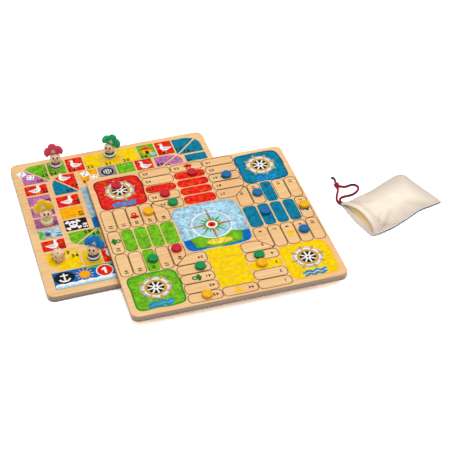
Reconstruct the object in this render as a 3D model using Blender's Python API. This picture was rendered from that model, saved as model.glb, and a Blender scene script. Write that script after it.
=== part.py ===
"""Goose and ludo board game set: two wooden boards, turned pawns with hats,
counters, a die and a cotton drawstring pouch, laid out as for play.

Metres, +Z up. The origin is the centre of the goose board's underside, and
+X runs along that board's front edge.
"""

import math

import bmesh
import bpy
from mathutils import Vector

# Boards
BOARD_SIDE = 0.350
BOARD_THICKNESS = 0.012
BOARD_CORNER_RADIUS = 0.013
BOARD_EDGE_ROUND = 0.0015
LUDO_CENTRE = (0.1136, -0.0960)
LUDO_TURN = -0.83  # degrees, seen from above

# Gap between a piece and what it stands on or is glued to
REST_GAP = 0.0003
GOOSE_TOP = BOARD_THICKNESS
LUDO_BASE = GOOSE_TOP + REST_GAP
LUDO_TOP = LUDO_BASE + BOARD_THICKNESS

# Pawn: turned figure with a ball head
PAWN_BASE_RADIUS = 0.0103
PAWN_FOOT_ROUND = 0.0015
PAWN_WAIST_HEIGHT = 0.0030  # where the dome starts above the straight foot
PAWN_NECK_RADIUS = 0.0055
PAWN_HEAD_RADIUS = 0.0098
PAWN_HEAD_HEIGHT = 0.0190
# Each pawn: place on the goose board, turn and the hat's lean, in degrees
PAWNS = {
    "red": ((-0.0962, 0.1485), -8, 9),
    "green": ((0.0001, 0.1489), -29, -18),
    "yellow": ((-0.1408, 0.0040), -6, 14),
    "blue": ((-0.0871, -0.1057), -25, -14),
}

# Two-cornered hat, drawn from the front about the centre of the head
HAT_SEAT_RADIUS = PAWN_HEAD_RADIUS + 1.5 * REST_GAP
HAT_HALF_OUTLINE = (
    (0.0000, 0.0313),
    (0.0050, 0.0296),
    (0.0078, 0.0247),
    (0.0116, 0.0238),
    (0.0158, 0.0187),
    (0.0169, 0.0110),
    (0.0139, 0.0061),
    (0.0086, 0.0080),
    (0.0000, 0.0102),
)
HAT_MIDDLE = Vector((0.0, 0.0175))  # the outline draws in towards this point
HAT_HALF_DEPTH_LOW = 0.0048
HAT_HALF_DEPTH_HIGH = 0.0034
# From the back face to the front: share of the depth, size of the outline
HAT_RINGS = ((-1, 0.74), (-0.8, 0.91), (-0.35, 1), (0.35, 1), (0.8, 0.91), (1, 0.74))

# Counters, placed from the ludo board's front left corner
COUNTER_RADIUS = 0.00875
COUNTER_HEIGHT = 0.0055
COUNTER_ROUND = 0.0016
COUNTERS = {
    "red": ((0.047, 0.316), (0.121, 0.272), (0.180, 0.315), (0.104, 0.132)),
    "green": ((0.128, 0.246), (0.062, 0.119), (0.129, 0.081), (0.226, 0.080)),
    "yellow": ((0.083, 0.234), (0.122, 0.016), (0.336, 0.178), (0.224, 0.060)),
    "blue": ((0.235, 0.292), (0.271, 0.230), (0.269, 0.180), (0.315, 0.119)),
}

# Die
DIE_SIDE = 0.018
DIE_ROUND = 0.0045
DIE_PLACE = (-0.1412, -0.0914)
DIE_TURN = 33

# Pouch: two panels sewn along the sides and the far end, open at the mouth
BAG_MOUTH_RIGHT = (-0.0055, -0.0465)  # corners on the ground, from the mouth's middle
BAG_MOUTH_LEFT = (0.0046, 0.0452)
BAG_FAR_RIGHT = (0.1435, -0.0490)
BAG_FAR_LEFT = (0.1420, 0.0460)
BAG_CORNER_CUT = 0.0060  # how far its far left corner is rounded off along each side
BAG_MOUTH = (0.3584, -0.1344)  # middle of the mouth on the ground
BAG_TURN = 20.2
CLOTH = 0.0010
BAG_RISE_MOUTH = 0.0155  # how far the upper panel stands off the lower one
BAG_RISE_BODY = 0.0095
BAG_LIP_BACK = 0.0060  # how far the arched upper lip draws back from the lower one

# Drawstring: points of its two free stretches and its tail on the ground
CORD_RADIUS = 0.0020
CORD_HEIGHT = CORD_RADIUS + 0.0002
CORD_STEP = 3.6 * CORD_RADIUS  # between points along the tube
CORD_EXIT_HEIGHT = 0.0030  # where it leaves the hem
KNOT_PLACE = (0.3570, -0.0378)
KNOT_RADII = (0.0048, 0.0052, 0.0040)
SHORT_RUN_ROUTE = (
    (0.3472, -0.0896),
    (0.3444, -0.0840),
    (0.3430, -0.0770),
    (0.3442, -0.0695),
    (0.3478, -0.0619),
    (0.3521, -0.0539),
    (0.3550, -0.0478),
    (0.3561, -0.0438),
)
LOOP_ROUTE = (
    (0.3517, -0.0878),
    (0.3487, -0.0823),
    (0.3479, -0.0766),
    (0.3506, -0.0712),
    (0.3561, -0.0684),
    (0.3637, -0.0682),
    (0.3716, -0.0678),
    (0.3800, -0.0646),
    (0.3873, -0.0591),
    (0.3909, -0.0522),
    (0.3893, -0.0455),
    (0.3837, -0.0421),
    (0.3771, -0.0427),
    (0.3707, -0.0437),
    (0.3655, -0.0420),
    (0.3624, -0.0402),
)
TAIL_ROUTE = (
    (0.3577, -0.0317),
    (0.3587, -0.0262),
    (0.3602, -0.0197),
    (0.3591, -0.0151),
    (0.3556, -0.0131),
)

WOOD = (0.80, 0.58, 0.36)
COTTON = (0.86, 0.80, 0.70)
CORD_RED = (0.62, 0.03, 0.04)
PAINT = {
    "red": (0.80, 0.03, 0.02),
    "green": (0.20, 0.50, 0.04),
    "yellow": (0.95, 0.66, 0.01),
    "blue": (0.01, 0.19, 0.37),
}


def clear_scene():
    """Start from an empty scene."""
    for old in list(bpy.data.objects):
        bpy.data.objects.remove(old)


def make_material(name, colour, roughness):
    """A plain Principled surface."""
    material = bpy.data.materials.new(name)
    material.use_nodes = True
    shader = material.node_tree.nodes["Principled BSDF"]
    shader.inputs["Base Color"].default_value = (*colour, 1.0)
    shader.inputs["Roughness"].default_value = roughness
    shader.inputs["Metallic"].default_value = 0.0
    return material


def make_empty(name, place, turn):
    """A holder that places the pieces under it; turn is in degrees about Z."""
    empty = bpy.data.objects.new(name, None)
    empty.location = place
    empty.rotation_euler.z = math.radians(turn)
    bpy.context.collection.objects.link(empty)
    return empty


def make_object(name, data, material, parent=None, place=(0, 0, 0)):
    """Link a mesh or curve as one named piece with the given material."""
    piece = bpy.data.objects.new(name, data)
    piece.parent = parent
    piece.location = place
    if not data.materials:
        data.materials.append(material)
    bpy.context.collection.objects.link(piece)
    return piece


def mesh_from(bm, name, sharp_angle=math.radians(40)):
    """Turn a bmesh into a mesh with outward faces, smooth apart from its sharp edges."""
    bmesh.ops.recalc_face_normals(bm, faces=bm.faces)
    mesh = bpy.data.meshes.new(name)
    bm.to_mesh(mesh)
    bm.free()
    mesh.shade_smooth()
    mesh.set_sharp_from_angle(angle=sharp_angle)
    return mesh


def arc(centre, radii, start, end, steps):
    """Points on an elliptical arc, angles in degrees."""
    points = []
    for i in range(steps + 1):
        angle = math.radians(start + (end - start) * i / steps)
        x = centre[0] + radii[0] * math.cos(angle)
        y = centre[1] + radii[1] * math.sin(angle)
        points.append((x, y))
    return points


def rounded_rectangle(length, width, radius, steps):
    """Outline of a rectangle about the origin, with round corners, anticlockwise."""
    points = []
    for quarter, (sx, sy) in enumerate(((1, 1), (-1, 1), (-1, -1), (1, -1))):
        centre = (sx * (length / 2 - radius), sy * (width / 2 - radius))
        points += arc(centre, (radius, radius), 90 * quarter, 90 * quarter + 90, steps)
    return points


def slab_mesh(name, outline, thickness):
    """A flat plate with the given outline, standing on z = 0."""
    bm = bmesh.new()
    base = bm.faces.new([bm.verts.new((x, y, 0)) for x, y in outline])
    top = bmesh.ops.extrude_face_region(bm, geom=[base])
    moved = [item for item in top["geom"] if isinstance(item, bmesh.types.BMVert)]
    bmesh.ops.translate(bm, verts=moved, vec=(0, 0, thickness))
    return mesh_from(bm, name)


def turned_mesh(name, profile, segments):
    """Spin a profile of (radius, height) points, pole to pole, about the Z axis."""
    bm = bmesh.new()
    verts = [bm.verts.new((r, 0, z)) for r, z in profile]
    edges = [bm.edges.new(pair) for pair in zip(verts, verts[1:])]
    bmesh.ops.spin(
        bm,
        geom=verts + edges,
        cent=(0, 0, 0),
        axis=(0, 0, 1),
        angle=math.tau,
        steps=segments,
    )
    bmesh.ops.remove_doubles(bm, verts=bm.verts, dist=1e-6)
    return mesh_from(bm, name)


def add_bevel(piece, width, segments):
    """Round the piece's sharp edges."""
    bevel = piece.modifiers.new("rounded_edges", "BEVEL")
    bevel.width = width
    bevel.segments = segments
    bevel.limit_method = "ANGLE"
    bevel.angle_limit = math.radians(40)


def board(name, parent, place):
    """A square plywood board with rounded corners and softened edges."""
    outline = rounded_rectangle(BOARD_SIDE, BOARD_SIDE, BOARD_CORNER_RADIUS, steps=7)
    mesh = slab_mesh(name, outline, BOARD_THICKNESS)
    piece = make_object(name, mesh, make_material(name, WOOD, 0.5), parent, place)
    add_bevel(piece, BOARD_EDGE_ROUND, segments=3)


def figure_profile():
    """Half section of the pawn: ball head, neck, dome and rounded foot."""
    head = (0, PAWN_HEAD_HEIGHT)
    neck_height = PAWN_HEAD_HEIGHT - math.sqrt(PAWN_HEAD_RADIUS**2 - PAWN_NECK_RADIUS**2)
    neck_angle = math.degrees(math.asin((neck_height - PAWN_HEAD_HEIGHT) / PAWN_HEAD_RADIUS))
    points = arc(head, (PAWN_HEAD_RADIUS, PAWN_HEAD_RADIUS), 90, neck_angle, steps=11)
    points[0] = (0, points[0][1])
    dome = (PAWN_NECK_RADIUS, PAWN_WAIST_HEIGHT)
    radii = (PAWN_BASE_RADIUS - PAWN_NECK_RADIUS, neck_height - PAWN_WAIST_HEIGHT)
    points += arc(dome, radii, 90, 0, steps=6)[1:]
    foot = (PAWN_BASE_RADIUS - PAWN_FOOT_ROUND, PAWN_FOOT_ROUND)
    points += arc(foot, (PAWN_FOOT_ROUND, PAWN_FOOT_ROUND), 0, -90, steps=3)
    points.append((0, 0))
    return points


def closed_curve(points, per_span):
    """Catmull-Rom curve through a closed ring of 2-D points."""
    ring = [Vector(p) for p in points]
    count = len(ring)
    curve = []
    for i in range(count):
        a, b, c, d = (ring[(i + k) % count] for k in (-1, 0, 1, 2))
        for step in range(per_span):
            t = step / per_span
            curve.append(
                b
                + (c - a) * (t / 2)
                + (2 * a - 5 * b + 4 * c - d) * (t * t / 2)
                + (3 * b - 3 * c + d - a) * (t**3 / 2)
            )
    return curve


def hat_mesh(name):
    """A soft-edged hat: rings of one lobed outline from back to front, hollowed
    underneath to sit on the ball head."""
    left = [(-x, z) for x, z in HAT_HALF_OUTLINE[-2:0:-1]]
    outline = closed_curve(list(HAT_HALF_OUTLINE) + left, per_span=2)
    low = min(p.y for p in outline)
    high = max(p.y for p in outline)
    bm = bmesh.new()
    rings = []
    for depth, size in HAT_RINGS:
        ring = []
        for point in outline:
            x, z = HAT_MIDDLE + (point - HAT_MIDDLE) * size
            rise = (z - low) / (high - low)
            half = HAT_HALF_DEPTH_LOW + (HAT_HALF_DEPTH_HIGH - HAT_HALF_DEPTH_LOW) * rise
            place = Vector((x, -depth * half, z))
            if place.length < HAT_SEAT_RADIUS:
                place *= HAT_SEAT_RADIUS / place.length
            ring.append(bm.verts.new(place))
        rings.append(ring)
    for back, front in zip(rings, rings[1:]):
        for i in range(len(outline)):
            j = (i + 1) % len(outline)
            bm.faces.new((back[i], back[j], front[j], front[i]))
    bm.faces.new(rings[0])
    bm.faces.new(rings[-1])
    return mesh_from(bm, name)


def pawn(colour, figure, hat):
    """One playing figure and the hat glued on its head."""
    (x, y), turn, lean = PAWNS[colour]
    holder = make_empty(f"pawn_{colour}", (x, y, GOOSE_TOP + REST_GAP), turn)
    paint = make_material(f"pawn_{colour}", PAINT[colour], 0.4)
    make_object(f"pawn_{colour}_figure", figure.copy(), paint, holder)
    place = (0, 0, PAWN_HEAD_HEIGHT)
    piece = make_object(f"pawn_{colour}_hat", hat.copy(), paint, holder, place)
    piece.rotation_euler.y = math.radians(-lean)


def counter_profile():
    """Half section of a counter: a disc with rounded edges."""
    inner = COUNTER_RADIUS - COUNTER_ROUND
    radii = (COUNTER_ROUND, COUNTER_ROUND)
    upper = arc((inner, COUNTER_HEIGHT - COUNTER_ROUND), radii, 90, 0, steps=3)
    lower = arc((inner, COUNTER_ROUND), radii, 0, -90, steps=3)
    return [(0, COUNTER_HEIGHT)] + upper + lower + [(0, 0)]


def counters(holder):
    """The sixteen discs, four of each colour, placed on the ludo board."""
    mesh = turned_mesh("counter", counter_profile(), segments=20)
    for colour, places in COUNTERS.items():
        paint = make_material(f"counter_{colour}", PAINT[colour], 0.35)
        for number, (x, y) in enumerate(places, start=1):
            place = (x - BOARD_SIDE / 2, y - BOARD_SIDE / 2, LUDO_TOP + REST_GAP)
            make_object(f"counter_{colour}_{number}", mesh.copy(), paint, holder, place)


def die():
    """A wooden die with rounded edges."""
    holder = make_empty("die_place", (*DIE_PLACE, GOOSE_TOP + REST_GAP), DIE_TURN)
    half = DIE_SIDE / 2
    mesh = slab_mesh("die", [(half, half), (-half, half), (-half, -half), (half, -half)], DIE_SIDE)
    piece = make_object("die", mesh, make_material("die", WOOD, 0.45), holder)
    add_bevel(piece, DIE_ROUND, segments=3)


def bag_plan(u, v):
    """A point of the pouch's plan between its four corners, u from the mouth to the far
    seam and v from the right side to the left. The far left corner is rounded off."""
    right, left = (1 - v) / 2, (1 + v) / 2
    corners = (BAG_MOUTH_RIGHT, BAG_MOUTH_LEFT, BAG_FAR_RIGHT, BAG_FAR_LEFT)
    shares = ((1 - u) * right, (1 - u) * left, u * right, u * left)
    cut = BAG_CORNER_CUT * max(0, (u - 0.86) / 0.14) ** 2 * max(0, (v - 0.7) / 0.3) ** 2
    return tuple(sum(s * c[k] for s, c in zip(shares, corners)) - cut for k in (0, 1))


def bag_outline(steps=12):
    """The pouch's plan as an outline, anticlockwise from the mouth's right end."""
    ends = [i / steps for i in range(steps)]
    sides = [(t, -1) for t in ends] + [(1, 2 * t - 1) for t in ends]
    sides += [(1 - t, 1) for t in ends] + [(0, 1 - 2 * t) for t in ends]
    return [bag_plan(u, v) for u, v in sides]


def upper_panel_mesh(name, along=14, across=12):
    """The upper cotton panel as a grid: x runs from the mouth to the far seam. It
    arches between the side seams, most at the mouth, and closes down at the end."""
    bm = bmesh.new()
    rows = []
    for i in range(along + 1):
        u = i / along
        rise = BAG_RISE_BODY + (BAG_RISE_MOUTH - BAG_RISE_BODY) * (1 - u) ** 2
        rise *= 1 - u**5
        row = []
        for j in range(across + 1):
            v = 2 * j / across - 1
            arch = max(0, math.cos(v * math.pi / 2))
            x, y = bag_plan(u, v)
            x += BAG_LIP_BACK * arch * (1 - u) ** 3
            row.append(bm.verts.new((x, y, CLOTH + REST_GAP + rise * arch)))
        rows.append(row)
    for near, far in zip(rows, rows[1:]):
        for j in range(across):
            bm.faces.new((near[j], far[j], far[j + 1], near[j + 1]))
    return mesh_from(bm, name)


def bag():
    """The pouch: a flat panel on the ground and an arched one over it."""
    holder = make_empty("bag", (*BAG_MOUTH, 0), BAG_TURN)
    cotton = make_material("bag_cotton", COTTON, 0.9)
    lower = slab_mesh("bag_lower_panel", bag_outline(), CLOTH)
    make_object("bag_lower_panel", lower, cotton, holder)
    upper = upper_panel_mesh("bag_upper_panel")
    piece = make_object("bag_upper_panel", upper, cotton, holder)
    cloth = piece.modifiers.new("cloth", "SOLIDIFY")
    cloth.thickness = CLOTH
    cloth.offset = 1


def smooth_route(route, step):
    """Points about one step apart on a Catmull-Rom curve through the route's points."""
    points = [Vector(p) for p in route]
    points = [2 * points[0] - points[1]] + points + [2 * points[-1] - points[-2]]
    fine = []
    for a, b, c, d in zip(points, points[1:], points[2:], points[3:]):
        for k in range(20):
            t = k / 20
            fine.append(
                b
                + (c - a) * (t / 2)
                + (2 * a - 5 * b + 4 * c - d) * (t * t / 2)
                + (3 * b - 3 * c + d - a) * (t**3 / 2)
            )
    fine.append(points[-2])
    length = sum((q - p).length for p, q in zip(fine, fine[1:]))
    spacing = length / max(2, round(length / step))
    kept = [fine[0]]
    travelled = 0.0
    for p, q in zip(fine, fine[1:]):
        travelled += (q - p).length
        if travelled >= spacing * len(kept) - 1e-9:
            kept.append(q)
    kept[-1] = fine[-1]
    return kept


def cord(name, route, start_height, material):
    """One stretch of the drawstring as a round tube lying on the ground."""
    heights = [start_height] + [CORD_HEIGHT] * (len(route) - 1)
    points = smooth_route([(x, y, z) for (x, y), z in zip(route, heights)], CORD_STEP)
    curve = bpy.data.curves.new(name, "CURVE")
    curve.dimensions = "3D"
    curve.bevel_depth = CORD_RADIUS
    curve.bevel_resolution = 2
    curve.use_fill_caps = True
    spline = curve.splines.new("POLY")
    spline.points.add(len(points) - 1)
    for spot, point in zip(spline.points, points):
        spot.co = (*point, 1.0)
    make_object(name, curve, material)


def drawstring():
    """The red cord outside the hem: two stretches, the knot that joins them, the tail."""
    red = make_material("drawstring", CORD_RED, 0.8)
    cord("drawstring_short_run", SHORT_RUN_ROUTE, CORD_EXIT_HEIGHT, red)
    cord("drawstring_loop", LOOP_ROUTE, CORD_EXIT_HEIGHT, red)
    cord("drawstring_tail", TAIL_ROUTE, CORD_HEIGHT, red)
    bm = bmesh.new()
    bmesh.ops.create_icosphere(bm, subdivisions=2, radius=1.0)
    bmesh.ops.scale(bm, vec=KNOT_RADII, verts=bm.verts)
    knot = mesh_from(bm, "drawstring_knot")
    make_object("drawstring_knot", knot, red, None, (*KNOT_PLACE, KNOT_RADII[2]))


def main():
    clear_scene()
    board("goose_board", None, (0, 0, 0))
    ludo = make_empty("ludo_place", (*LUDO_CENTRE, 0), LUDO_TURN)
    board("ludo_board", ludo, (0, 0, LUDO_BASE))
    counters(ludo)
    figure = turned_mesh("pawn_figure", figure_profile(), segments=22)
    hat = hat_mesh("pawn_hat")
    for colour in PAWNS:
        pawn(colour, figure, hat)
    die()
    bag()
    drawstring()


main()
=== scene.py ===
"""Looks of a goose and ludo set: two printed plywood boards, painted pawns and
counters, a die and a cotton drawstring pouch. Metres, +Z up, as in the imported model."""

import math

import bmesh
import bpy
import numpy as np
from mathutils import Matrix, Vector


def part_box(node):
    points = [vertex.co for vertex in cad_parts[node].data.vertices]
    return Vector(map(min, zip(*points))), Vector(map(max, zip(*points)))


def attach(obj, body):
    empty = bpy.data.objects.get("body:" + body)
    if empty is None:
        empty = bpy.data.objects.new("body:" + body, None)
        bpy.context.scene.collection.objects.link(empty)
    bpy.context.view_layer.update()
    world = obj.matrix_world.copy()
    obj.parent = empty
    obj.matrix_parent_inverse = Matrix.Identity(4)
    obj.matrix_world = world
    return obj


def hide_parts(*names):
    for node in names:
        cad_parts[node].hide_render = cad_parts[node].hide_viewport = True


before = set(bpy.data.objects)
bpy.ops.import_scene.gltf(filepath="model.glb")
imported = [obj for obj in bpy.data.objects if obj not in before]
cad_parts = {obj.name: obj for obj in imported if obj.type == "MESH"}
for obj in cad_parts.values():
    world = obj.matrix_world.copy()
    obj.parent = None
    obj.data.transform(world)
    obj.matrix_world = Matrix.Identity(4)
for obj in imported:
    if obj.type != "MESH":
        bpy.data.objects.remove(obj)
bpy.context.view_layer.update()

# Studio
# The set lies on a white floor under large soft lamps, and the camera looks down
# on it from the front left. Every finish is built from the two classes here.

VIEW_PLACE = (-0.3295, -1.5776, 1.3419)
VIEW_YAW = math.radians(-17.452)
VIEW_PITCH = math.radians(40.460)
VIEW_ROLL = math.radians(0.034)
VIEW_LENS = 99.27
VIEW_SENSOR = 36
FLOOR_REACH = 6.0
FLOOR_DROP = 0.0002
FLOOR_LIT = (0.9, 0.9, 0.9, 1)
# Lifts the floor's soft shadows to white, so that only contact shadows show
FLOOR_BRIGHT = (2.35, 2.58, 2.8, 1)
SKY_LIGHT = 0.45
# Place, size and power of each lamp
LAMPS = {
    "overhead_lamp": ((0.2, 0.4, 2.0), 1.3, 18.2),
    "side_lamp": ((1.4, 0.3, 1.3), 1.0, 3.4),
    "front_lamp": ((0.3, -1.0, 1.7), 1.0, 6.7),
}
LAMP_AIM = (0.1, -0.05, 0.0)


def add_object(name, data):
    """A new object in the scene, at the origin."""
    made = bpy.data.objects.new(name, data)
    bpy.context.scene.collection.objects.link(made)
    return made


def at_height(flat, height):
    """Points of a plan, all at one height."""
    return np.column_stack((flat, np.full(len(flat), height)))


camera = add_object("camera", bpy.data.cameras.new("camera"))
camera.data.lens = VIEW_LENS
camera.data.sensor_width = VIEW_SENSOR
camera.matrix_world = (
    Matrix.Translation(VIEW_PLACE)
    @ Matrix.Rotation(VIEW_YAW, 4, "Z")
    @ Matrix.Rotation(math.pi / 2 - VIEW_PITCH, 4, "X")
    @ Matrix.Rotation(VIEW_ROLL, 4, "Z")
)
bpy.context.scene.camera = camera
bpy.context.scene.view_settings.view_transform = "Standard"


def srgb(red, green, blue):
    """Linear colour of a screen colour from 0 to 255: the power curve of the sRGB standard."""
    part = np.array((red, green, blue)) / 255
    light = np.where(part <= 0.04045, part / 12.92, ((part + 0.055) / 1.055) ** 2.4)
    return (*light.tolist(), 1.0)


class Value:
    """One socket of a finish. Arithmetic with it adds Math nodes to that finish."""

    def __init__(self, finish, socket):
        self.finish = finish
        self.socket = socket

    def math(self, operation, first, second=0.0):
        return self.finish.node("ShaderNodeMath", {"operation": operation}, {0: first, 1: second})

    def __add__(self, other):
        return self.math("ADD", self, other)

    def __sub__(self, other):
        return self.math("SUBTRACT", self, other)

    def __rsub__(self, other):
        return self.math("SUBTRACT", other, self)

    def __mul__(self, other):
        return self.math("MULTIPLY", self, other)

    def __abs__(self):
        return self.math("ABSOLUTE", self)

    def __gt__(self, other):
        return self.math("GREATER_THAN", self, other)

    def most(self, other):
        return self.math("MAXIMUM", self, other)

    def sine(self):
        return self.math("SINE", self)

    __radd__ = __add__
    __rmul__ = __mul__


class Finish:
    """A procedural material or sky: its shader, the shader's constants and the nodes that feed it."""

    def __init__(self, name, constants=None, kind="materials", shader="Principled BSDF"):
        self.material = getattr(bpy.data, kind).new(name)
        self.material.use_nodes = True
        self.tree = self.material.node_tree
        self.shader = self.tree.nodes[shader]
        self.set(constants or {})

    def feed(self, socket, value):
        """Link a value to a socket, or write a constant into it."""
        if isinstance(value, Value):
            self.tree.links.new(value.socket, socket)
        else:
            socket.default_value = value

    def set(self, sockets):
        """Feed sockets of the shader by name."""
        for key, value in sockets.items():
            self.feed(self.shader.inputs[key], value)

    def node(self, kind, settings=None, sockets=None, out=0):
        """Add a node of that kind, set it up, feed its sockets and return one output."""
        made = self.tree.nodes.new(kind)
        for key, value in (settings or {}).items():
            if key == "stops":
                ramp = made.color_ramp.elements
                while len(ramp) < len(value):
                    ramp.new(1.0)
                for stop, (position, colour) in zip(ramp, value):
                    stop.position = position
                    stop.color = colour
            elif key == "interpolation":
                made.color_ramp.interpolation = value
            else:
                setattr(made, key, value)
        for key, value in (sockets or {}).items():
            self.feed(made.inputs[key], value)
        return Value(self, made.outputs[out])

    def place(self, stretch=(1, 1, 1), turn=0.0):
        """Object coordinates, turned about Z and stretched."""
        spot = self.node("ShaderNodeTexCoord", out="Object")
        sockets = {"Vector": spot, "Rotation": (0, 0, turn), "Scale": stretch}
        return self.node("ShaderNodeMapping", sockets=sockets)

    def noise(self, vector, scale, detail=2.0):
        """Soft random clouding from 0 to 1."""
        sockets = {"Vector": vector, "Scale": scale, "Detail": detail}
        return self.node("ShaderNodeTexNoise", sockets=sockets)

    def span(self, value, low, high, to_low=0.0, to_high=1.0):
        """The value carried from one range to another and held at its ends."""
        names = ("Value", "From Min", "From Max", "To Min", "To Max")
        sockets = dict(zip(names, (value, low, high, to_low, to_high)))
        return self.node("ShaderNodeMapRange", {"clamp": True}, sockets)

    def mix(self, factor, first, second, blend="MIX"):
        """The first colour where the factor is 0, and the second one, blended, where it is 1."""
        settings = {"data_type": "RGBA", "blend_type": blend}
        sockets = {0: factor, 6: first, 7: second}
        return self.node("ShaderNodeMix", settings, sockets, out=2)

    def bump(self, height, distance, strength):
        """Raise the surface's shading by a height."""
        sockets = {"Height": height, "Distance": distance, "Strength": strength}
        self.set({"Normal": self.node("ShaderNodeBump", sockets=sockets)})

    def coat(self, colour, grain, rough, relief, distance, strength=0.3):
        """Set the colour, a roughness that follows a grain and a bump that follows a relief."""
        self.set({"Base Color": colour, "Roughness": self.span(grain, 0.3, 0.7, *rough)})
        self.bump(relief, distance, strength)
        return self

    def axis(self, vector, name):
        """One coordinate of a vector."""
        return self.node("ShaderNodeSeparateXYZ", sockets={0: vector}, out=name)

    def height(self):
        """Height above the ground."""
        return self.axis(self.place(), "Z")

    def upward(self):
        """How far the surface looks up: the upright part of its normal."""
        return self.axis(self.node("ShaderNodeNewGeometry", out="Normal"), "Z")

    def attribute(self, name, out="Fac"):
        """A value that the mesh carries at its points."""
        return self.node("ShaderNodeAttribute", {"attribute_name": name}, out=out)


for lamp_name, (lamp_place, lamp_size, lamp_power) in LAMPS.items():
    lamp = add_object(lamp_name, bpy.data.lights.new(lamp_name, "AREA"))
    lamp.data.size = lamp_size
    lamp.data.energy = lamp_power
    lamp.location = lamp_place
    heading = Vector(LAMP_AIM) - Vector(lamp_place)
    lamp.rotation_euler = heading.to_track_quat("-Z", "Y").to_euler()


def seen_rays(finish):
    """One for rays that show the background: from the camera, off gloss and through glass."""
    names = ("Is Camera Ray", "Is Glossy Ray", "Is Transmission Ray")
    camera_ray, *others = (finish.node("ShaderNodeLightPath", out=name) for name in names)
    return camera_ray.most(others[0]).most(others[1])


sky = Finish("studio", {"Color": (1, 1, 1, 1)}, "worlds", "Background")
sky.set({"Strength": seen_rays(sky).most(SKY_LIGHT)})
bpy.context.scene.world = sky.material

floor_finish = Finish("white_floor")
lit, bright = (
    floor_finish.node("ShaderNodeBsdfDiffuse", sockets={"Color": tone}) for tone in (FLOOR_LIT, FLOOR_BRIGHT)
)
shown = {0: seen_rays(floor_finish), 1: lit, 2: bright}
floor_end = floor_finish.tree.nodes["Material Output"]
floor_finish.feed(floor_end.inputs["Surface"], floor_finish.node("ShaderNodeMixShader", sockets=shown))
floor_mesh = bpy.data.meshes.new("floor")
floor_corners = np.array(((-1, -1), (1, -1), (1, 1), (-1, 1))) * FLOOR_REACH
floor_mesh.from_pydata(at_height(floor_corners, -FLOOR_DROP).tolist(), [], [(0, 1, 2, 3)])
floor_mesh.materials.append(floor_finish.material)
add_object("floor", floor_mesh)

# Boards
# Two square plywood boards with rounded corners and softened edges, sanded and
# varnished. The plies show as fine bands along the sawn edges.


def node_box(node):
    """A CAD node's lowest and highest corners, and the middle of its underside."""
    low, high = (np.array(corner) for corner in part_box(node))
    return low, high, np.append((low + high)[:2] / 2, low[2])


board_low, board_high, goose_place = node_box("goose_board")
BOARD_SIDE, _, BOARD_THICKNESS = board_high - board_low
BOARD_CORNER = 0.013
BOARD_EDGE = 0.0016
PLY_COUNT = 9
LUDO_TURN = math.radians(-0.83)
BOARD_PLACES = {"goose": (goose_place, 0.0), "ludo": (node_box("ludo_board")[2], LUDO_TURN)}
WOOD_LIGHT = srgb(246, 201, 140)
WOOD_DARK = srgb(230, 176, 115)
WOOD_PORE = srgb(196, 146, 96)
# Edge colours: the plies' own tone, made darker as painted shade of the upright sides; the last one is
# painted shade near the ground
PLY_PALE = srgb(172, 138, 106)
PLY_DARK = srgb(136, 106, 82)
PLY_FOOT_SHADE = srgb(98, 84, 78)


def arc(centre, radius, start, end, steps):
    """Points on a circle about a centre, from one angle to another in degrees."""
    angle = np.radians(np.linspace(start, end, steps + 1))
    return np.array(centre) + radius * np.column_stack((np.cos(angle), np.sin(angle)))


def rounded_square(side, radius, steps):
    """Outline about the origin, anticlockwise: a quarter circle at each corner in turn."""
    reach = side / 2 - radius
    centres = np.array(((1, 1), (-1, 1), (-1, -1), (1, -1))) * reach
    starts = (0, 90, 180, 270)
    return np.concatenate([arc(centre, radius, a, a + 90, steps) for centre, a in zip(centres, starts)])


def grid_faces(rows, columns, closed=True):
    """Quads of a grid of points, each joining a row to the next, and the last column
    to the first where the rows are closed rings."""
    row = np.arange(rows - 1)[:, None] * columns
    column = np.arange(columns if closed else columns - 1)[None, :]
    after = (column + 1) % columns
    quads = (row + column, row + after, row + columns + after, row + columns + column)
    return np.stack(np.broadcast_arrays(*quads), axis=-1).reshape(-1, 4).tolist()


def lofted(rings):
    """Points and faces of a closed solid through rings of points, anticlockwise and
    from the bottom up: quads between the rings, and a flat face on each end."""
    rows, columns = rings.shape[:2]
    ends = [list(range(columns))[::-1], list(range((rows - 1) * columns, rows * columns))]
    return rings.reshape(-1, 3), grid_faces(rows, columns) + ends


def set_down(points, place, turn):
    """Points turned about the upright axis and moved to a place."""
    cos, sin = math.cos(turn), math.sin(turn)
    return np.asarray(points) @ np.array(((cos, sin, 0), (-sin, cos, 0), (0, 0, 1))) + np.array(place)


def make_piece(name, solid, finish, body, stands_for=None, sharp=35):
    """A mesh object at the origin that rides on a body, smooth apart from its sharp edges."""
    points, faces = solid
    mesh = bpy.data.meshes.new(name)
    mesh.from_pydata(np.asarray(points).tolist(), [], faces)
    mesh.materials.append(finish.material)
    mesh.shade_smooth()
    mesh.set_sharp_from_angle(angle=math.radians(sharp))
    piece = add_object(name, mesh)
    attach(piece, body)
    if stands_for:
        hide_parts(stands_for)
    return piece


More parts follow.
